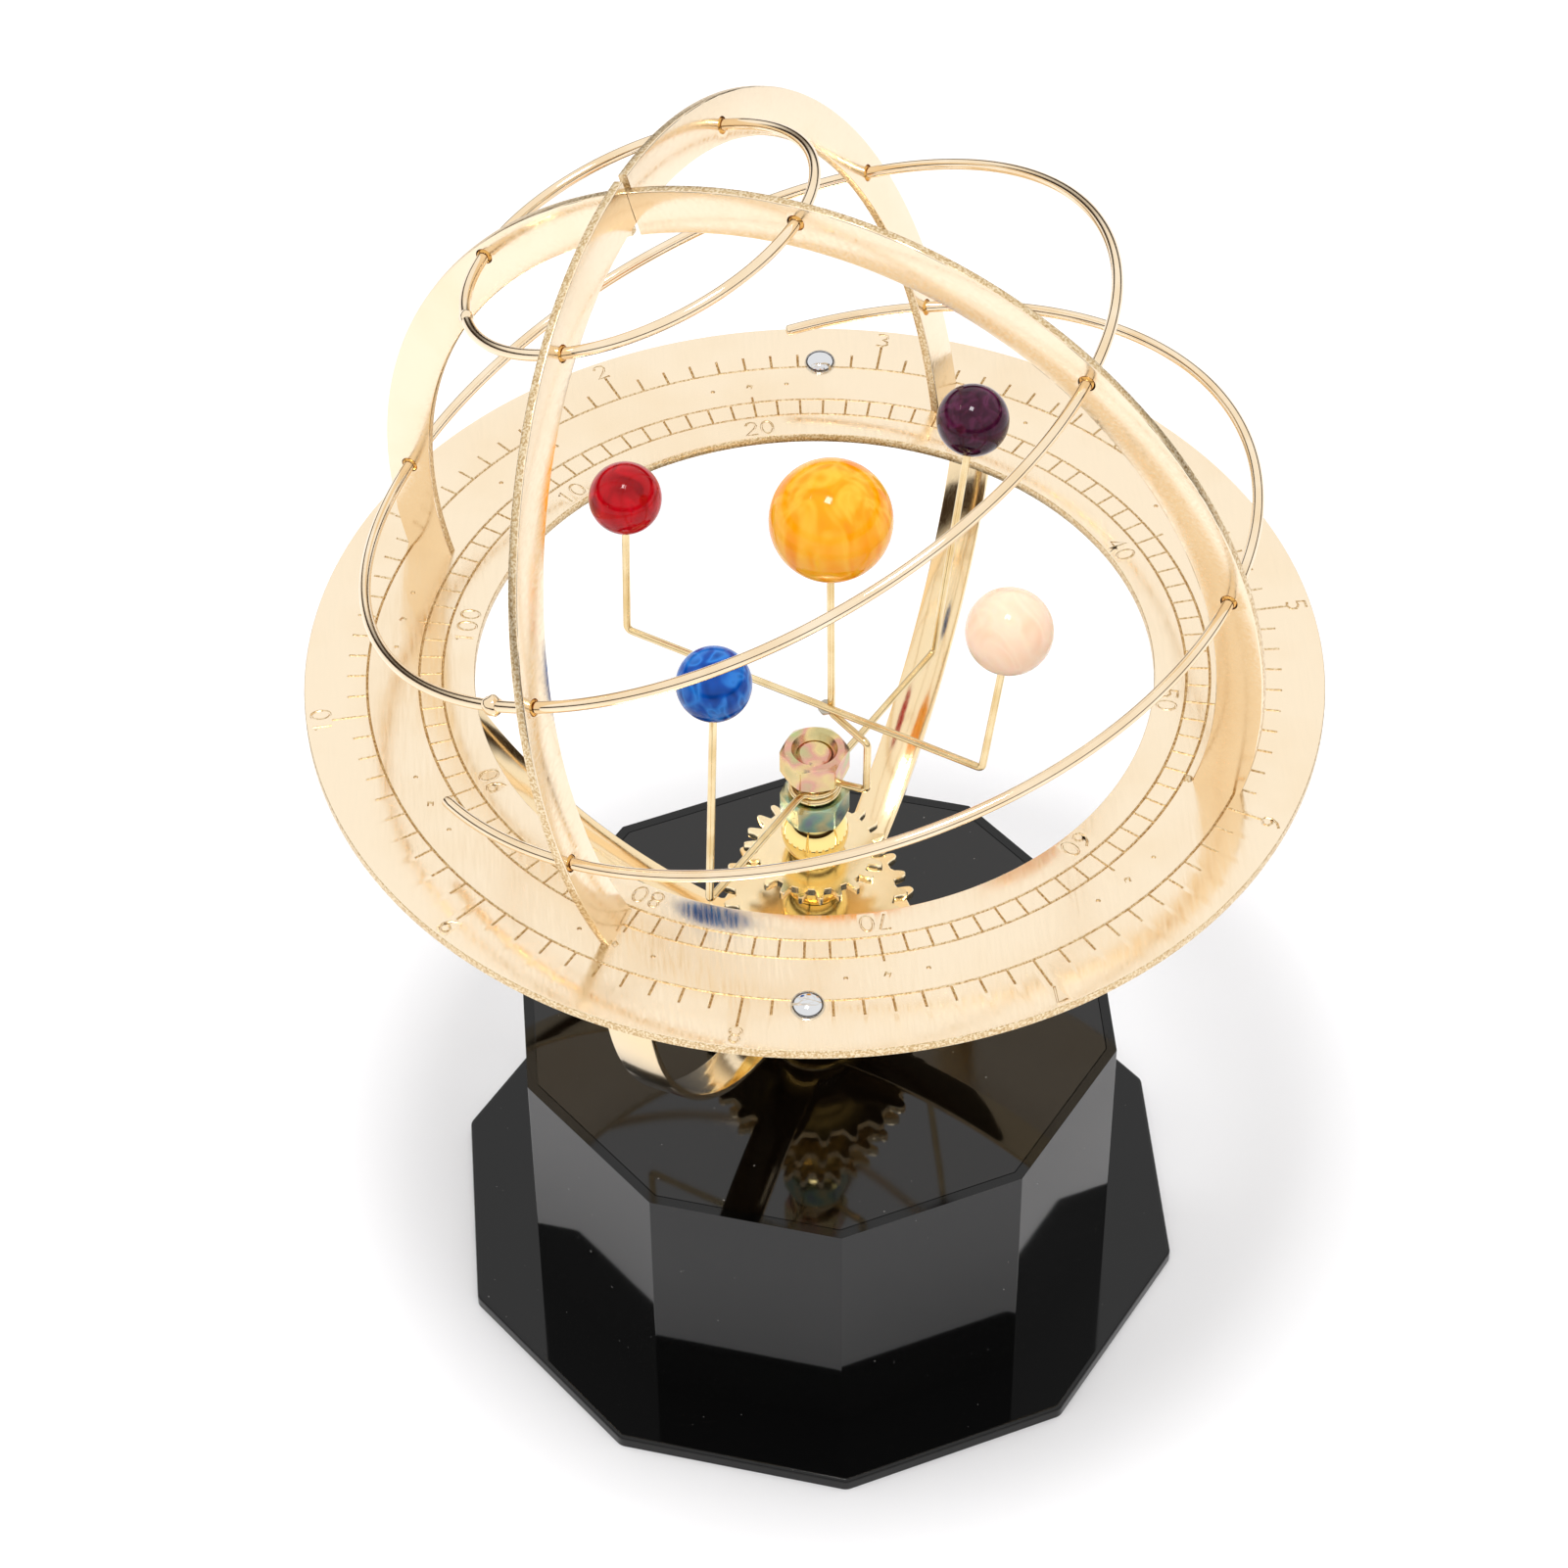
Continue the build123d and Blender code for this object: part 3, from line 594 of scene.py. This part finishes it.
def makeScaleRing(values):
    low, top = lowOf("scale_ring"), highOf("scale_ring")
    section = roundedSection(values["outer"] - values["inner"], top - low, values["edge"], 3)
    middle = (values["outer"] + values["inner"]) / 2
    profile = [(middle + x, (low + top) / 2 + y) for x, y in section]
    ring = plainObject("scaleRing", stackLoops(latheLoops(profile, 360), wrap=True))
    width, depth = values["grooveWidth"], values["grooveDepth"]
    inner, outer = values["innerCircles"]
    turn = 360 / values["divisions"]
    ticks, dividers, marks, digits = [], [], [], []
    for step in range(values["divisions"]):
        isLong = step % 10 == 0
        yaw = values["outerStart"] - turn * step
        reach = values["longTick"] if isLong else values["shortTick"]
        ticks.append(grooveRun(polar(values["outerCircle"], yaw), polar(reach, yaw), top, width, depth))
        ladderYaw = values["innerStart"] - turn * step
        reach = values["ladderTick"] if isLong else outer
        start, end = polar(inner, ladderYaw), polar(reach, ladderYaw)
        dividers.append(grooveRun(start, end, top, width * 0.9, depth))
        if isLong:
            # Both scales start at their highest number.
            number = step // 10 or 10
            digits += digitGrooves(str(number), values["outerNumbers"], yaw, top, values)
            digits += digitGrooves(str(number * 10), values["innerNumbers"], ladderYaw, top, values)
            marks += markCutters(yaw, top, values)
    circles = [grooveCircle(radius, top, width, depth) for radius in (values["outerCircle"], inner, outer)]
    profile = [(values["pinHoleRadius"], low - 1), (values["pinHoleRadius"], top + 1)]
    pin = stackLoops(latheLoops(profile, 24, Vector((*values["pinHole"], 0))))
    for group in ([pin] + ticks, circles, dividers, marks, digits[0::2], digits[1::2]):
        carve(ring, joinMeshes(group))
    finishPiece(ring, "base", ["scale_ring"], ringGold, 28)
    edgeMaterial(ring, upwards, 0.95)


makeScaleRing(scaleRing)
print("scale ring engraved")


# Rivets on the ring

rivet = {
    "circle": 71.2, "yaw": 84.6, "radius": 2.6, "height": 1.6,
    "tailRadius": 2.0, "tailHeight": 0.8, "tailChamfer": 0.3,
}


def makeRivet(name, node, yaw, values):
    top, low = highOf("scale_ring"), lowOf("scale_ring")
    radius, height = values["radius"], values["height"]
    tail, foot, chamfer = values["tailRadius"], low - values["tailHeight"], values["tailChamfer"]
    profile = [(tail - chamfer, foot), (tail, foot + chamfer), (tail, low + 0.05), (radius - 0.1, top - 0.02)]
    for angle in (0, 15, 30, 45, 60, 72, 82):
        profile.append((radius * cos(radians(angle)), top + height * sin(radians(angle))))
    mesh = stackLoops(latheLoops(profile, 48, polar(values["circle"], yaw)))
    addPiece(name, mesh, "base", [node], chrome, 50)


makeRivet("rearRivet", "rear_rivet", rivet["yaw"], rivet)
makeRivet("frontRivet", "front_rivet", rivet["yaw"] + 180, rivet)


# Arches and the wire rings that run through them

arches = {
    "yaw": 152.0, "width": 7.5, "thickness": 1.5, "corner": 0.25, "bury": 0.5,
    "upright": {"radius": 69.6, "centre": (0.0, 18.2), "lean": 0.0, "offset": 0.0},
    "leaning": {"radius": 67.3, "centre": (1.6, 19.9), "lean": 16.3, "offset": 5.0},
    "slotGap": 0.06,
}
wireRings = {
    "radius": 0.9, "holeRadius": 1.35, "holeReach": 5.0, "jointGap": 0.5,
    "small": {"reach": 27.9, "rise": 77.1, "radius": 28.0, "tilt": 24.2, "yaw": 153.3, "first": -54.1},
    "middle": {"reach": 13.3, "rise": 45.7, "radius": 62.8, "tilt": 26.6, "yaw": 156.3, "first": -15.5},
    "open": {
        "reach": -0.9, "rise": 19.9, "radius": 68.6, "tilt": 16.4, "yaw": 151.3, "first": -32.3, "turn": 241.6
    },
}
solder = {
    "arch": {"length": 2.3, "radius": 1.42, "lumps": 0.22},
    "small": {"length": 3.0, "radius": 1.2, "lumps": 0.3},
    "middle": {"length": 3.0, "radius": 1.5, "lumps": 0.3},
    "bar": {"length": 2.6, "radius": 1.15, "lumps": 0.3},
}
ringNames = ("small", "middle", "open")
ringTop = highOf("scale_ring")
along = polar(1, arches["yaw"])
across = polar(1, arches["yaw"] - 90)


def archAxes(name):
    # Origin on the ring, and the level and rising axes of an arch's plane.
    lean = radians(arches[name]["lean"])
    rising = upwards * cos(lean) + along * sin(lean)
    levelAxis = along if name == "upright" else across
    origin = upwards * ringTop + along * arches[name]["offset"]
    return origin, levelAxis, rising, levelAxis.cross(rising)


def ringAxes(name):
    values = wireRings[name]
    tilt = radians(values["tilt"])
    levelAxis = polar(1, values["yaw"] + 90)
    normal = polar(sin(tilt), values["yaw"], cos(tilt))
    centre = along * values["reach"] + upwards * (ringTop + values["rise"])
    return centre, levelAxis, normal.cross(levelAxis)


def ringTurn(name):
    # The open ring's turn is given; a closed one leaves out only the gap at its joint.
    values = wireRings[name]
    return values.get("turn", 360 - degrees(wireRings["jointGap"] / values["radius"]))


def ringPoint(name, angle):
    centre, axisX, axisY = ringAxes(name)
    radius = wireRings[name]["radius"]
    return centre + (axisX * cos(radians(angle)) + axisY * sin(radians(angle))) * radius


def ringDirection(name, angle, step):
    return ringPoint(name, angle + step) - ringPoint(name, angle - step)


def crossings(name, archName):
    # Angles at which a wire ring passes through an arch's plane.
    centre, axisX, axisY = ringAxes(name)
    origin, levelAxis, rising, facing = archAxes(archName)
    flatX, flatY = facing.dot(axisX), facing.dot(axisY)
    distance = (origin - centre).dot(facing)
    middle = degrees(atan2(flatY, flatX))
    swing = degrees(acos(distance / hypot(flatX, flatY) / wireRings[name]["radius"]))
    found = []
    for angle in (middle - swing, middle + swing):
        if (angle - wireRings[name]["first"]) % 360 <= ringTurn(name):
            found.append(angle)
    return found


def slotLevel():
    # Height, along the leaning arch's plane, of the middle of the zone that both arches share.
    lean, upright, leaning = radians(arches["leaning"]["lean"]), arches["upright"], arches["leaning"]
    half, offset = arches["width"] / 2, leaning["offset"]
    pull = offset * sin(lean) - upright["centre"][1] * cos(lean)
    top = -pull + sqrt(pull**2 - offset**2 - upright["centre"][1]**2 + (upright["radius"] + half) ** 2)
    chord = sqrt((leaning["radius"] - half) ** 2 - leaning["centre"][0] ** 2)
    return (top + leaning["centre"][1] + chord) / 2


def makeArch(name, node, material):
    values = arches[name]
    origin, levelAxis, rising, facing = archAxes(name)
    section = roundedSection(arches["width"], arches["thickness"], arches["corner"], 3)
    level, height = values["centre"]
    steps = 220
    loops = []
    for i in range(steps + 1):
        loop = []
        for radial, depth in section:
            radius = values["radius"] + radial
            start = asin(-(height + arches["bury"]) / radius)
            angle = start + (pi - 2 * start) * i / steps
            loop.append(
                origin + levelAxis * (level + radius * cos(angle)) + rising * (height + radius * sin(angle))
                + facing * depth
            )
        loops.append(loop)
    arch = plainObject(name + "Arch", stackLoops(loops))
    holes = []
    for ringName in ringNames:
        for angle in crossings(ringName, name):
            spot = ringPoint(ringName, angle)
            reach = ringDirection(ringName, angle, 3).normalized() * wireRings["holeReach"]
            path = [spot - reach, spot + reach]
            holes.append(stackLoops(tubeLoops(path, wireRings["holeRadius"], 32, roundEnds=False)))
    carve(arch, joinMeshes(holes))
    # The half-lap slot: the upright arch is open below the middle, the leaning one above it.
    leanOrigin, leanLevel, leanRising, leanFacing = archAxes("leaning")
    gap = arches["slotGap"]
    wide, slim = 3 * arches["thickness"], arches["thickness"] + 2 * gap
    depth = arches["width"]
    if name == "upright":
        centre = leanOrigin + leanRising * (slotLevel() - depth / 2)
        sizes = (wide, depth, slim)
    else:
        centre = leanOrigin + leanRising * (slotLevel() - gap + depth / 2)
        sizes = (slim, depth, wide)
    carve(arch, boxMesh(centre, (leanLevel, leanRising, leanFacing), sizes))
    finishPiece(arch, "base", [node], material, 30)
    edgeMaterial(arch, facing, 0.6)


def makeWireRing(name):
    values = wireRings[name]
    steps = int(ringTurn(name) / 1.25)  # One loop about every 1.25 degrees
    path = [ringPoint(name, values["first"] + ringTurn(name) * i / steps) for i in range(steps + 1)]
    mesh = stackLoops(tubeLoops(path, wireRings["radius"], 20))
    addPiece(name + "WireRing", mesh, "base", [name + "_wire_ring"], wireGold, 50)


def bumpySolder(spot, direction, values):
    # A small uneven sleeve of solder round a wire.
    rows, around, lumpScale = 9, 16, 1.1
    direction = direction.normalized()
    normal = direction.orthogonal().normalized()
    side = direction.cross(normal)
    loops = []
    for row in range(rows):
        share = row / (rows - 1) * 2 - 1
        size = sqrt(max(0.0, 1 - share**2)) * 0.65 + 0.35
        centre = spot + direction * share * values["length"] / 2
        loop = []
        for k in range(around):
            angle = 2 * pi * k / around
            outward = normal * cos(angle) + side * sin(angle)
            lump = 1 + values["lumps"] * noise.noise((centre + outward) * lumpScale)
            loop.append(centre + outward * values["radius"] * size * lump)
        loops.append(loop)
    return stackLoops(loops)


def makeRingFixings():
    # Solder where each wire ring passes through an arch, and at the closed rings' joints.
    parts = []
    for ringName in ringNames:
        for archName in ("upright", "leaning"):
            for angle in crossings(ringName, archName):
                spot, direction = ringPoint(ringName, angle), ringDirection(ringName, angle, 2)
                parts.append(bumpySolder(spot, direction, solder["arch"]))
    mesh = joinMeshes(parts)
    addPiece("archSolder", mesh, "base", (), solderGold, 60)
    joints = []
    for ringName in ("small", "middle"):
        values = wireRings[ringName]
        angle = values["first"] - degrees(wireRings["jointGap"] / 2 / values["radius"])
        spot, direction = ringPoint(ringName, angle), ringDirection(ringName, angle, 2)
        joints.append(bumpySolder(spot, direction, solder[ringName]))
    mesh = joinMeshes(joints)
    addPiece("jointSolder", mesh, "base", (), wireGold, 60)


makeArch("upright", "upright_arch", uprightGold)
makeArch("leaning", "leaning_arch", leaningGold)
for ringName in ringNames:
    makeWireRing(ringName)
makeRingFixings()
print("cage made")


# Strips below the ring

strips = {
    "width": 7.0, "thickness": 1.1, "corner": 0.18, "inside": 74.6, "yaw": 63.5, "foot": 9.0, "eye": 7.4,
    "bendStart": 1.6, "bendMiddle": 0.6, "bendDrop": 0.1,
}


def makeStrip(name, node, yaw, values):
    # Path points are (along, level, turn): one foot, the rolled arc, the other foot.
    low = lowOf(node)
    thickness = values["thickness"]
    middle = values["inside"] + thickness / 2
    centre = low + thickness + values["inside"]
    footLevel = lowOf("scale_ring") - thickness / 2
    steps = 160
    start = -asin((centre - footLevel) / middle) - radians(1.0)
    reach = middle * cos(start)
    foot = [
        (reach - values["foot"], footLevel, 0.0),
        (reach - values["bendStart"], footLevel, 0.0),
        (reach - values["bendMiddle"], footLevel - values["bendDrop"], -pi / 5),
    ]
    path = list(foot)
    for i in range(steps + 1):
        angle = start + (-pi - 2 * start) * i / steps
        path.append((middle * cos(angle), centre + middle * sin(angle), angle - pi / 2))
    path += [(-x, z, -2 * pi - turn) for x, z, turn in reversed(foot)]
    direction = polar(1, yaw)
    sideways = polar(1, yaw + 90)
    loops = []
    for x, z, turn in path:
        width = values["width"]
        if abs(x) < values["eye"] and z < centre:
            width = max(width, 2 * sqrt(values["eye"] ** 2 - x**2))
        outward = upwards * cos(turn) - direction * sin(turn)
        loops.append([
            direction * x + upwards * z + sideways * u + outward * v
            for u, v in roundedSection(width, thickness, values["corner"], 2)
        ])
    mesh = stackLoops(loops)
    addPiece(name, mesh, "base", [node], stripGold, 40)


makeStrip("lowerStrip", "lower_strip", strips["yaw"] + 90, strips)
makeStrip("upperStrip", "upper_strip", strips["yaw"], strips)
print("strips made")


# Spindle stack: gears, beads, nuts and the threaded end

gears = {
    "teeth": 22, "depth": 2.1, "bore": 3.2, "edge": 0.14, "pointsPerTooth": 24,
    "rootShare": 0.4, "tipShare": 0.3, "crownStart": 0.75, "crownShare": 0.06,
}
beads = {"radius": 5.5, "endRadius": 4.1, "bore": 3.1, "chamfer": 0.15}
nuts = {
    "flats": 10.0, "bore": 2.95, "countersink": 3.75, "sinkDepth": 1.1, "closedSinkDepth": 0.4,
    "lowerSinkDepth": 0.6, "cornerCut": 0.12, "chamferInset": 0.15, "chamferSlope": 0.75,
}
rod = {
    "threadRadius": 2.98, "threadDepth": 0.32, "pitch": 1.0, "shownLength": 8.0,
    "radius": 2.9, "footRadius": 2.4, "footHeight": 0.5,
    "taperRadius": 2.35, "taperSlope": 1.2, "tipRadius": 1.9, "dimpleRadius": 0.8, "dimpleDepth": 0.08,
}


def toothRadius(angle, tip, values):
    # Rounded stamped teeth: flat root, sloping flanks, rounded tip.
    pitch = 2 * pi / values["teeth"]
    share = abs((angle / pitch) % 1.0 - 0.5) * 2
    flank = (share - values["rootShare"]) / (1 - values["rootShare"] - values["tipShare"] * 0.5)
    flank = min(1.0, max(0.0, flank))
    rise = flank * flank * (3 - 2 * flank)
    crown = max(0.0, share - values["crownStart"]) / (1 - values["crownStart"])
    crownShare = values["crownShare"]
    return tip - values["depth"] + values["depth"] * (rise * (1 - crownShare) + crown * crownShare)


def makeGear(name, node, values):
    low, high = lowOf(node), highOf(node)
    tip = radiusOf(node)
    count = values["teeth"] * values["pointsPerTooth"]
    edge = values["edge"]
    turns = [2 * pi * i / count + pi / values["teeth"] for i in range(count)]
    rim = [toothRadius(2 * pi * i / count, tip, values) for i in range(count)]
    loops = []
    for inset, z in ((edge, low), (0, low + edge), (0, high - edge), (edge, high)):
        loops.append([Vector((cos(a) * (r - inset), sin(a) * (r - inset), z)) for a, r in zip(turns, rim)])
    for z in (high, low):
        loops.append([Vector((cos(a) * values["bore"], sin(a) * values["bore"], z)) for a in turns])
    mesh = stackLoops(loops, wrap=True)
    addPiece(name, mesh, "spindle", [node], gearGold, 30)


def makeBead(name, node, values):
    # A barrel: its outline is an arc through both ends and the widest middle.
    low, high = lowOf(node), highOf(node)
    half = (high - low) / 2
    middle = (low + high) / 2
    bulge = values["radius"] - values["endRadius"]
    arc = (half**2 + bulge**2) / 2 / bulge
    swing = asin(half / arc)
    steps, chamfer = 24, values["chamfer"]
    profile = [(values["bore"], low + chamfer), (values["endRadius"] - chamfer, low)]
    for i in range(steps + 1):
        angle = -swing + 2 * swing * i / steps
        profile.append((values["radius"] - arc + arc * cos(angle), middle + arc * sin(angle)))
    profile += [(values["endRadius"] - chamfer, high), (values["bore"], high - chamfer)]
    mesh = stackLoops(latheLoops(profile, 96), wrap=True)
    addPiece(name, mesh, "spindle", [node], beadGold, 35)


def makeNut(name, node, material, openTop, values):
    low, high = lowOf(node), highOf(node)
    half = values["flats"] / 2
    bore, sink = values["bore"], values["countersink"]
    sinkDepth = values["sinkDepth"] if openTop else values["closedSinkDepth"]
    chamferStart = half - values["chamferInset"]
    corner = half / cos(radians(30)) - values["cornerCut"]
    turns = [2 * pi * i / 144 for i in range(144)]

    def circle(radius, z):
        return [Vector((cos(a) * radius, sin(a) * radius, z)) for a in turns]

    def hexagon(level, side):
        # The six-sided outline; the chamfer moves its corners away from the face.
        loop = []
        for a in turns:
            radius = min(half / cos(radians(degrees(a) % 60 - 30)), corner)
            drop = max(0.0, (radius - chamferStart) * values["chamferSlope"])
            loop.append(Vector((cos(a) * radius, sin(a) * radius, level + side * drop)))
        return loop

    mesh = stackLoops([
        circle(sink, low), circle(chamferStart, low), hexagon(low, 1), hexagon(high, -1),
        circle(chamferStart, high), circle(sink, high), circle(bore, high - sinkDepth),
        circle(bore, low + values["lowerSinkDepth"]),
    ], wrap=True)
    addPiece(name, mesh, "spindle", [node], material, 24)


def makeRod(values):
    # Plain below, with a thread on the length that shows; the thread starts at a tapered tip.
    low, high = lowOf("spindle_rod"), highOf("spindle_rod")
    start = high - values["shownLength"]
    rows = int(values["shownLength"] / values["pitch"] * 10)
    around = 64
    plain = values["radius"]
    loops = latheLoops([
        (values["footRadius"], low), (plain, low + values["footHeight"]), (plain, start - 0.1)
    ], around)
    for row in range(rows + 1):
        z = start + (values["shownLength"] - 0.02) * row / rows
        taper = values["taperRadius"] + (high - z) * values["taperSlope"]
        loop = []
        for k in range(around):
            phase = ((z - start) / values["pitch"] - k / around) % 1.0
            groove = 1 - abs(phase - 0.5) * 2
            radius = min(values["threadRadius"] - values["threadDepth"] * groove, taper)
            loop.append(polar(radius, 360 * k / around, z))
        loops.append(loop)
    loops += latheLoops([
        (values["tipRadius"], high), (values["dimpleRadius"], high - values["dimpleDepth"])
    ], around)
    mesh = stackLoops(loops)
    addPiece("spindleRod", mesh, "spindle", ["spindle_rod"], yellowZinc, 35)


for size in ("large", "middle", "small"):
    makeGear(size + "Gear", size + "_gear", gears)
for place in ("lower", "middle", "upper"):
    makeBead(place + "Bead", place + "_bead", beads)
makeNut("upperNut", "upper_nut", yellowZinc, True, nuts)
makeNut("lowerNut", "lower_nut", greenZinc, False, nuts)
makeRod(rod)
print("spindle stack made")


# Planet wires: each has an eye that the two nuts clamp

armWires = {
    "wire": 0.62, "bend": 1.7, "insert": 4.0, "layer": 1.49, "layerGap": 0.25,
    "eyeRadius": 3.72, "eyeTurn": 300, "eyeExit": ((0.2, 6), (0.8, 1.5)),
    "planetStart": 6.5, "blueElbow": (-19.1, -26.0), "purpleElbow": (22.4, 28.8),
    "sun": {"start": 5.4, "crankReach": 10.2, "crankYaw": 326.5, "crankRise": 12.15, "foot": (2.25, 1.15)},
    "bar": {"rise": 14.25, "yaw": 146.4, "offset": 1.0, "redReach": 35.9, "creamReach": 30.1},
}
clampLow = highOf("lower_nut")
purpleEye = clampLow + armWires["layerGap"] + armWires["wire"]
blueEye = purpleEye + armWires["layer"]
sunEye = blueEye + armWires["layer"]
balls = {name: middleOf(name + "_ball") for name in ("sun", "red", "cream", "blue", "purple")}
ballRadius = {name: radiusOf(name + "_ball") for name in balls}


def eyePath(z, yaw):
    # From the loose end round the rod, then out along yaw.
    radius = armWires["eyeRadius"]
    points = [polar(radius, yaw + angle, z) for angle in range(armWires["eyeTurn"], 11, -8)]
    return points + [polar(radius + out, yaw + turn, z) for out, turn in armWires["eyeExit"]]


def wireEnd(elbow, name):
    run = balls[name] - elbow
    return balls[name] - run.normalized() * (ballRadius[name] - armWires["insert"])


def addWire(name, path, body, node):
    mesh = stackLoops(tubeLoops(path, armWires["wire"], 16))
    addPiece(name, mesh, body, [node], armGold, 50)


def makeArms(values):
    bend = values["bend"]
    for name, eye in (("blue", blueEye), ("purple", purpleEye)):
        corner = Vector((*values[name + "Elbow"], eye))
        yaw = degrees(atan2(corner.y, corner.x))
        path = eyePath(eye, yaw)
        path += roundedPath([polar(values["planetStart"], yaw, eye), corner, wireEnd(corner, name)], bend)
        addWire(name + "Arm", path, name + "_planet", name + "_arm")
    sun, bar = values["sun"], values["bar"]
    yaw, reach, crankLevel = sun["crankYaw"], sun["crankReach"], sunEye + sun["crankRise"]
    foot = Vector((*sun["foot"], crankLevel))
    corners = [polar(sun["start"], yaw, sunEye), polar(reach, yaw, sunEye), polar(reach, yaw, crankLevel)]
    path = eyePath(sunEye, yaw) + roundedPath(corners + [foot, wireEnd(foot, "sun")], bend)
    addWire("sunWire", path, "spindle", "sun_wire")
    middle = polar(bar["offset"], bar["yaw"] - 90, sunEye + bar["rise"])
    red = middle + polar(bar["redReach"], bar["yaw"])
    cream = middle - polar(bar["creamReach"], bar["yaw"])
    path = roundedPath([wireEnd(red, "red"), red, cream, wireEnd(cream, "cream")], bend)
    addWire("crossBar", path, "spindle", "cross_bar")
    # Solder sits halfway between the bar and the sun wire's stem.
    stem = foot + (balls["sun"] - foot) * ((middle.z - foot.z) / (balls["sun"].z - foot.z))
    inward = polar(1, bar["yaw"] - 90)
    gap = (stem - middle).dot(inward)
    mesh = bumpySolder(stem - inward * gap / 2, polar(1, bar["yaw"]), solder["bar"])
    addPiece("barSolder", mesh, "spindle", ["solder_joint"], solderGrey, 60)


def makeBall(name, material, body):
    # Level loops from pole to pole, closed by a fan of triangles at each.
    radius, centre = ballRadius[name], balls[name]
    rows, around = 48, 96
    angles = [-pi / 2 + pi * row / rows for row in range(1, rows)]
    profile = [(radius * cos(angle), radius * sin(angle)) for angle in angles]
    loops = latheLoops(profile, around, centre)
    verts, faces = stackLoops(loops, caps=False)
    for tip, row in ((-1, 0), (1, len(loops) - 1)):
        verts.append(centre + Vector((0, 0, radius * tip)))
        pole = len(verts) - 1
        for k in range(around):
            here, ahead = row * around + k, row * around + (k + 1) % around
            faces.append((ahead, here, pole) if tip < 0 else (here, ahead, pole))
    addPiece(name + "Ball", (verts, faces), body, [name + "_ball"], material, 60)


makeArms(armWires)
makeBall("sun", amberGlass, "spindle")
makeBall("red", rubyGlass, "spindle")
makeBall("cream", creamGlass, "spindle")
makeBall("blue", blueGlass, "blue_planet")
makeBall("purple", amethystGlass, "purple_planet")
print("planets made")


# CAD nodes that stay as they are get their materials

nodeFinish = {
    "base_shell": baseBlack, "top_plate": plateBlack, "bottom_cover": coverBlack, "cover_screws": screwSteel,
    "spindle_bush": turnedSteel, "foot_collar": beadGold, "retaining_nut": turnedSteel,
    "retaining_washer": turnedSteel, "thrust_washer": turnedSteel,
}
for node, material in nodeFinish.items():
    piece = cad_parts[node]
    piece.data.materials.clear()
    piece.data.materials.append(material)
print("carried nodes finished")


# Floor, light and camera

studio = {
    "floorSize": 6000.0, "floorLevel": -0.02, "floorColour": "FCFCFE",
    "skyColour": "FFFFFF", "skyStrength": 1.08, "skyStart": 0.26,
    "horizonColour": "33271C", "horizonTop": 0.15,
    "key": (-80.0, -160.0, 1100.0), "keySize": 200.0, "keyPower": 3.6, "keyAim": (0.0, 0.0, 120.0),
}
camera = {
    "place": (-40.05, -510.01, 643.79), "focal": 105.556, "sensor": 36.0, "nearest": 0.01, "farthest": 30.0,
    "right": (0.997066, -0.0762, -0.00722), "up": (0.060183, 0.722191, 0.68907),
    "ahead": (0.047293, 0.687483, -0.724659),
}


def makeFloor(values):
    size, level = values["floorSize"], values["floorLevel"]
    verts = [(x * size, y * size, level) for x, y in ((-1, -1), (1, -1), (1, 1), (-1, 1))]
    floor = plainObject("paleFloor", (verts, [(0, 1, 2, 3)]))
    # Uncoated white paper: matt.
    floor.data.materials.append(newMaterial("matPaper", values["floorColour"], 0.0, 0.9)[0])


def makeSky(values):
    # The camera sees plain white; light and reflections see the same sky, dark near the horizon.
    world = bpy.data.worlds.new("softTent")
    bpy.context.scene.world = world
    world.use_nodes = True
    tree = world.node_tree
    tree.nodes.clear()
    space = addNode(tree, "ShaderNodeTexCoord")
    split = addNode(tree, "ShaderNodeSeparateXYZ", links={0: space.outputs["Generated"]})
    horizon, sky = values["horizonColour"], values["skyColour"]
    stops = [(0.0, horizon), (values["horizonTop"], horizon), (values["skyStart"], sky), (1.0, sky)]
    ramp = colourRamp(tree, split.outputs["Z"], stops)
    seen = addNode(tree, "ShaderNodeLightPath")
    shown = addNode(tree, "ShaderNodeMix", {"data_type": "RGBA", 7: toLinear(sky)}, {
        0: seen.outputs["Is Camera Ray"], 6: ramp
    })
    glow = addNode(tree, "ShaderNodeBackground", {"Strength": values["skyStrength"]}, {
        "Color": shown.outputs[2]
    })
    addNode(tree, "ShaderNodeOutputWorld", links={"Surface": glow.outputs[0]})


def makeKeyLight(values):
    data = bpy.data.lights.new("keySoftbox", "AREA")
    data.shape = "SQUARE"
    data.size = values["keySize"] * mm
    data.energy = values["keyPower"]
    light = bpy.data.objects.new("keySoftbox", data)
    light.location = Vector(values["key"]) * mm
    aim = Vector(values["keyAim"]) * mm - light.location
    light.rotation_euler = aim.to_track_quat("-Z", "Y").to_euler()
    bpy.context.scene.collection.objects.link(light)


def makeCamera(values):
    data = bpy.data.cameras.new("photoCamera")
    data.sensor_width = values["sensor"]
    data.lens = values["focal"]
    data.clip_start = values["nearest"]
    data.clip_end = values["farthest"]
    eye = bpy.data.objects.new("photoCamera", data)
    right, up, ahead = (Vector(values[axis]) for axis in ("right", "up", "ahead"))
    turn = Matrix((right, up, -ahead)).transposed()
    eye.matrix_world = Matrix.Translation(Vector(values["place"]) * mm) @ turn.to_4x4()
    bpy.context.scene.collection.objects.link(eye)
    bpy.context.scene.camera = eye


makeFloor(studio)
makeSky(studio)
makeKeyLight(studio)
makeCamera(camera)
bpy.context.scene.view_settings.view_transform = "Standard"
print("studio made")
